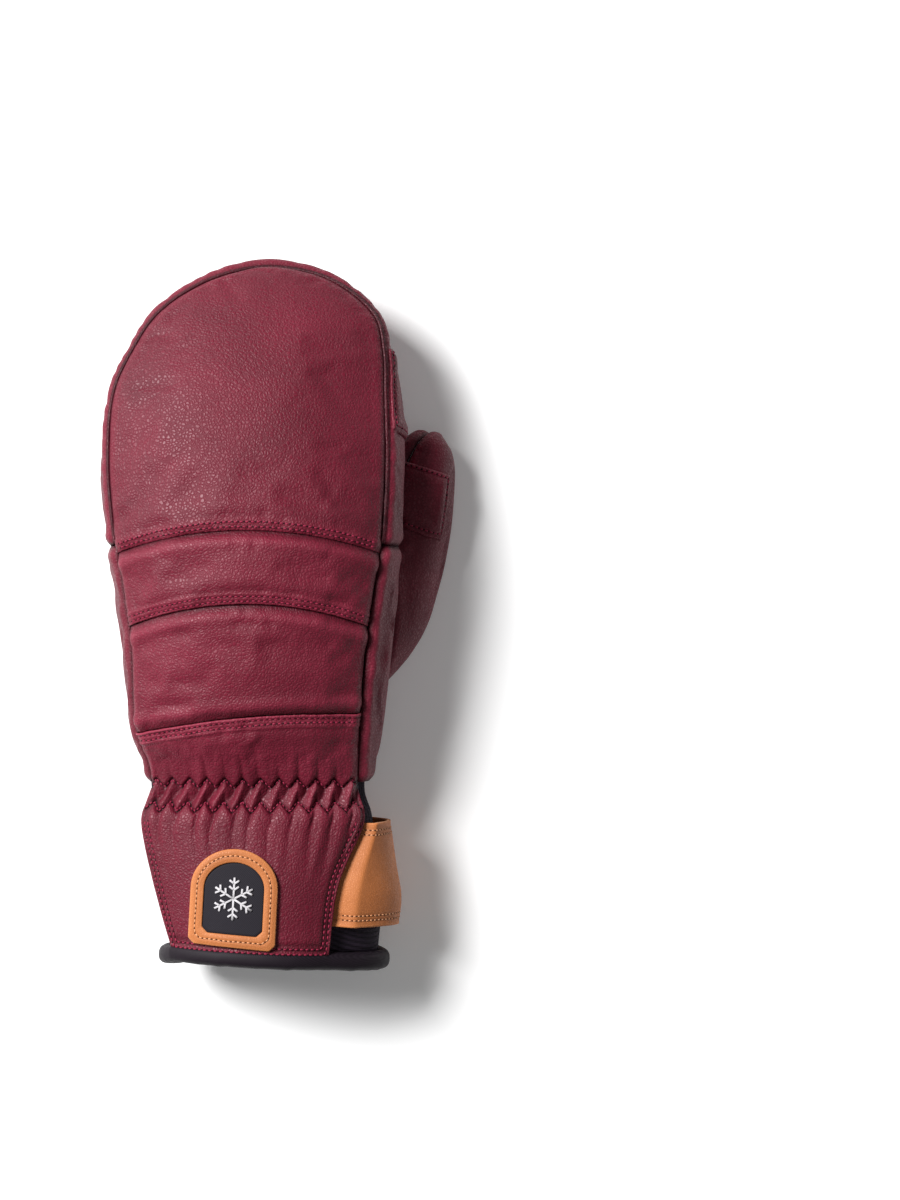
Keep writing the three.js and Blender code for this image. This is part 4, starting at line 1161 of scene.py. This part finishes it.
def badge_outline(share, margin):
    """The badge's edge, clockwise from its foot: flat below, with a rounded head towards the hand."""
    w, foot, shoulder = BADGE_SIZE[0] / 2 - margin, -BADGE_SIZE[1] / 2 + margin, 4
    arc = np.linspace(math.pi, 0, 60)
    rise = BADGE_SIZE[1] / 2 - margin - shoulder
    head = np.stack([w * np.cos(arc), shoulder + rise * np.sin(arc), 0 * arc], 1)
    corner = 2.2
    line = np.vstack([[0, foot, 0], [corner - w, foot, 0], [-w, foot + corner, 0], head,
                      [w, foot + corner, 0], [w - corner, foot, 0], [0, foot, 0]])
    run = np.concatenate([[0], np.cumsum(np.linalg.norm(np.diff(line, axis=0), axis=1))])
    at = (share % 1) * run[-1]
    return np.interp(at, run, line[:, 0]), np.interp(at, run, line[:, 1])


def badge_point(x, y, depth):
    cos, sin = math.cos(BADGE_TILT), math.sin(BADGE_TILT)
    x, y = x * cos - y * sin, x * sin + y * cos
    return on_back(x + BADGE_CENTRE[0], y + BADGE_CENTRE[1], depth)


def badge_ring(inner, outer, proud, bow):
    def place(a, b):
        (x0, y0), (x1, y1) = badge_outline(a, inner), badge_outline(a, outer)
        return badge_point(mix(x0, x1, b), mix(y0, y1, b), -proud - bow * np.sin(math.pi * np.clip(b, 0, 1)))
    return place


frame_place = badge_ring(BADGE_MARGIN, 0.0, 1.5, 0.5)


def frame_tone(a, b):
    return -0.3 * bell(b, 0.5, 0.1), 0.35 * bell(b, 1, 0.14) + 0.2 * bell(b, 0, 0.12)


panel("badge_border", frame_place, [], (150, 12), "cuff", ["badge_frame"], frame_tone, "tan_leather", tan,
      rim=True, ring=True)


def label_place(a, b):
    x, y = badge_outline(a, BADGE_MARGIN - 0.2)
    return badge_point(x * b, y * b, -1.1 + 0 * a), 0.0


fit(skin("badge_insert", label_place, 120, 12, [LABEL], solid=0.8, ring=True), "cuff", "woven_label",
    ["badge_label"])


def snowflake():
    """Six arms with two pairs of barbs each, as flat bars of pale thread."""
    bm = bmesh.new()
    barbs = [((at + 0.66, side), 2.2, side * 55) for at in (3.6, 6.0) for side in (-1, 1)]
    bars = [((4.2, 0), 8.4, 0), *barbs]
    for arm in range(6):
        turned = Matrix.Rotation(math.radians(60 * arm + 30), 4, "Z")
        for (x, y), length, slope in bars:
            at = turned @ Matrix.Translation((x, y, 0)) @ Matrix.Rotation(math.radians(slope), 4, "Z")
            made = bmesh.ops.create_cube(bm, size=1, matrix=at @ Matrix.Diagonal((length, 0.75, 0.5, 1)))
            edges = list({edge for vert in made["verts"] for edge in vert.link_edges})
            bmesh.ops.subdivide_edges(bm, edges=edges, cuts=2, use_grid_fill=True)
    flat = np.array([vert.co for vert in bm.verts])
    points = badge_point(flat[:, 0], flat[:, 1], -1.35 - flat[:, 2])
    for vert, point in zip(bm.verts, points * MM):
        vert.co = point
    return new_piece("label_motif", bm, [MOTIF])


fit(snowflake(), "cuff")

# ---- stitching ----------------------------------------------------------------------------------
BACK_SPAN, STRAP_WIDTH, STRAP_LENGTH = 84, STRAP_EDGES[1] - STRAP_EDGES[0], 75
TAN_STITCH = (1.9, 0.62, 0.28)
wine_sewn, tan_sewn = [WINE_THREAD, NEEDLE_HOLE], [TAN_THREAD, TAN_HOLE]
u = np.linspace(0.03, 0.97, 160)

for name, height, lifts, onto, where in (
        ("stitches_top", seam_top, LAP_ROWS, "finger_back", FOLD),
        ("stitches_mid", seam_mid, LAP_ROWS, "band_upper", FOLD),
        ("stitches_low", seam_low, [-lift for lift in EDGE_ROWS], "cuff_back", "hand")):
    fit(sew(name, [body(u, row_at(u, height(u) + lift)) for lift in lifts], wine_sewn, [onto]), where)
flap_rows = []
for inset in EDGE_ROWS:
    side, foot = inset / BACK_SPAN, row_at(0.5, -64 + inset) - row_at(0.5, -64)
    wrist = (row_at(side, -11), row_at(1 - side, -11))
    flap_rows.append(np.vstack([body(side, np.linspace(wrist[0], foot, 60)),
                                body(np.linspace(side, 1 - side, 120), foot),
                                body(1 - side, np.linspace(foot, wrist[1], 60))]))
fit(sew("stitches_flap", flap_rows, wine_sewn, ["cuff_back"]), WRIST_BEND)


def thread_paths(phase_at, turns, threads):
    """The two zigzag gathering threads across the wrist."""
    turn = np.linspace(turns[0] + 0.01, turns[1] - 0.01, 900)
    return [body(turn, row_at(turn, height + swing * zigzag(phase_at(turn)))) for height, swing in threads]


zigzags = thread_paths(BACK_PHASE, (0, 1), (UPPER_THREAD, LOWER_THREAD))
fit(sew("gather_threads_back", zigzags, wine_sewn, ["cuff_back"], 2.0), WRIST_BEND)
crossing = thread_paths(PALM_PHASE, (2, 3), (PALM_UPPER, PALM_LOWER)) + thread_paths(
    lambda turn: PALM_PHASE(turn) + 0.5, (2, 3), (PALM_UPPER, PALM_LOWER))
fit(sew("gather_threads_palm", crossing, wine_sewn, ["palm_tongue", "palm_hand"], 2.0), WRIST_BEND)
tongue_rows = []
for inset in EDGE_ROWS:
    turn = np.linspace(2 + inset / BACK_SPAN, 3 - inset / BACK_SPAN, 200)
    tongue_rows.append(body(turn, row_at(turn, tongue(turn) + inset * (1 + 0.6 * np.abs(turn - 2.5)))))
fit(sew("stitches_tongue", tongue_rows, wine_sewn, ["palm_tongue"]), WRIST_BEND)
strap_rows = []
for inset in (2.7, 4.6):
    low, high, end = inset / STRAP_WIDTH, 1 - inset / STRAP_WIDTH, 1 - inset / STRAP_LENGTH
    strap_rows.append(np.vstack([strap_place(mix(0.14, end, share), 0 * share + low),
                                 strap_place(0 * share + end, mix(low, high, share)),
                                 strap_place(mix(end, 0.14, share), 0 * share + high)]))
fit(sew("stitches_strap", strap_rows, tan_sewn, ["closing_strap"], *TAN_STITCH), STRAP_BEND)
pull_rows = [pull_place(0 * share + side, share) for side in (0.12, 0.2, 0.8, 0.88)]
fit(sew("stitches_pull", pull_rows, tan_sewn, ["pull_strip"], *TAN_STITCH), "cuff")
badge_row = [frame_place(share, 0 * share + 0.5)]
fit(sew("stitches_badge", badge_row, tan_sewn, ["badge_border"], 2.0, 0.7, 0.3), "cuff")
fit(sew("stitches_index", [outline(index_place, 0.05)], wine_sewn, ["index_leather_patch"]), "fingers")
fit(sew("stitches_thumb_patch", [outline(thumb_patch_place, 0.06)], wine_sewn, ["thumb_leather_patch"]),
    "thumb")

# ---- the layers inside ------------------------------------------------------------------------------
def inner(name, node, material, slot, where, keep=0, shown=True):
    """An inner layer from its solid, or the part of it before or past the middle of the hand."""
    bm = bmesh.new()
    bm.from_mesh(bpy.data.objects[node].data)
    if keep:
        bmesh.ops.bisect_plane(bm, geom=bm.verts[:] + bm.edges[:] + bm.faces[:], plane_no=(0, 1, 0),
                               plane_co=(0, LINING_SPLIT, 0), clear_inner=keep > 0, clear_outer=keep < 0)
    bmesh.ops.subdivide_edges(bm, edges=[edge for edge in bm.edges if edge.calc_length() > 0.006], cuts=1)
    return fit(new_piece(name, bm, [material]), where, slot, [node] if shown else ())


LINING_SPLIT = -0.05
inner("inside_lining_cuff", "hand_lining", FLEECE, "lining", WRIST_BEND, -1)
inner("inside_lining_hand", "hand_lining", FLEECE, "lining", FOLD, 1, False)
inner("inside_wadding_back", "back_wadding", WADDING, "wadding", FOLD)
inner("inside_wadding_palm", "palm_wadding", WADDING, "wadding", FOLD)
inner("inside_wadding_thumb", "thumb_wadding", WADDING, "wadding", THUMB_BEND)
inner("inside_lining_thumb", "thumb_lining", FLEECE, "lining", THUMB_BEND)
inner("inside_pad_upper", "knuckle_pad_upper", FOAM, "foam", FOLD)
inner("inside_pad_lower", "knuckle_pad_lower", FOAM, "foam", "hand")
inner("inside_elastic_back", "wrist_elastic_back", ELASTIC, "elastic", WRIST_BEND)
inner("inside_elastic_palm", "wrist_elastic_palm", ELASTIC, "elastic", WRIST_BEND)

# ---- the floor, the light and the camera -------------------------------------------------------------
camera = bpy.data.objects.new("camera", bpy.data.cameras.new("camera"))
camera.data.lens = 100
camera.data.sensor_width = 36
camera.data.clip_start = 0.05
camera.location = (0.0688, 0.0056, 1.37)
scene.collection.objects.link(camera)
scene.camera = camera

bm = bmesh.new()
bmesh.ops.create_grid(bm, x_segments=1, y_segments=1, size=3)
white, _, white_shader = new_material("white_floor", 0.9, specular=0.1)
white_shader.inputs["Base Color"].default_value = (0.93, 0.93, 0.93, 1)
white_shader.inputs["Emission Strength"].default_value = 0.12
white_shader.inputs["Emission Color"].default_value = (1, 1, 1, 1)
floor = new_piece("floor", bm, [white])
floor.location.z = -0.0005

world = bpy.data.worlds.new("studio")
world.use_nodes = True
world.node_tree.nodes["Background"].inputs["Color"].default_value = (1, 1, 1, 1)
world.node_tree.nodes["Background"].inputs["Strength"].default_value = 0.11
scene.world = world
scene.view_settings.view_transform = "Standard"


def soft_light(name, at, size, watts, aim=(0, 0, 0.03)):
    light = bpy.data.objects.new(name, bpy.data.lights.new(name, "AREA"))
    light.data.size = size
    light.data.energy = watts
    light.location = at
    light.rotation_euler = (Vector(aim) - Vector(at)).to_track_quat("-Z", "Y").to_euler()
    scene.collection.objects.link(light)


soft_light("key_upper_left", (-1.15, 0.75, 1.5), 0.8, 78)
soft_light("fill_top", (0.3, -0.1, 1.7), 1.0, 1.5)
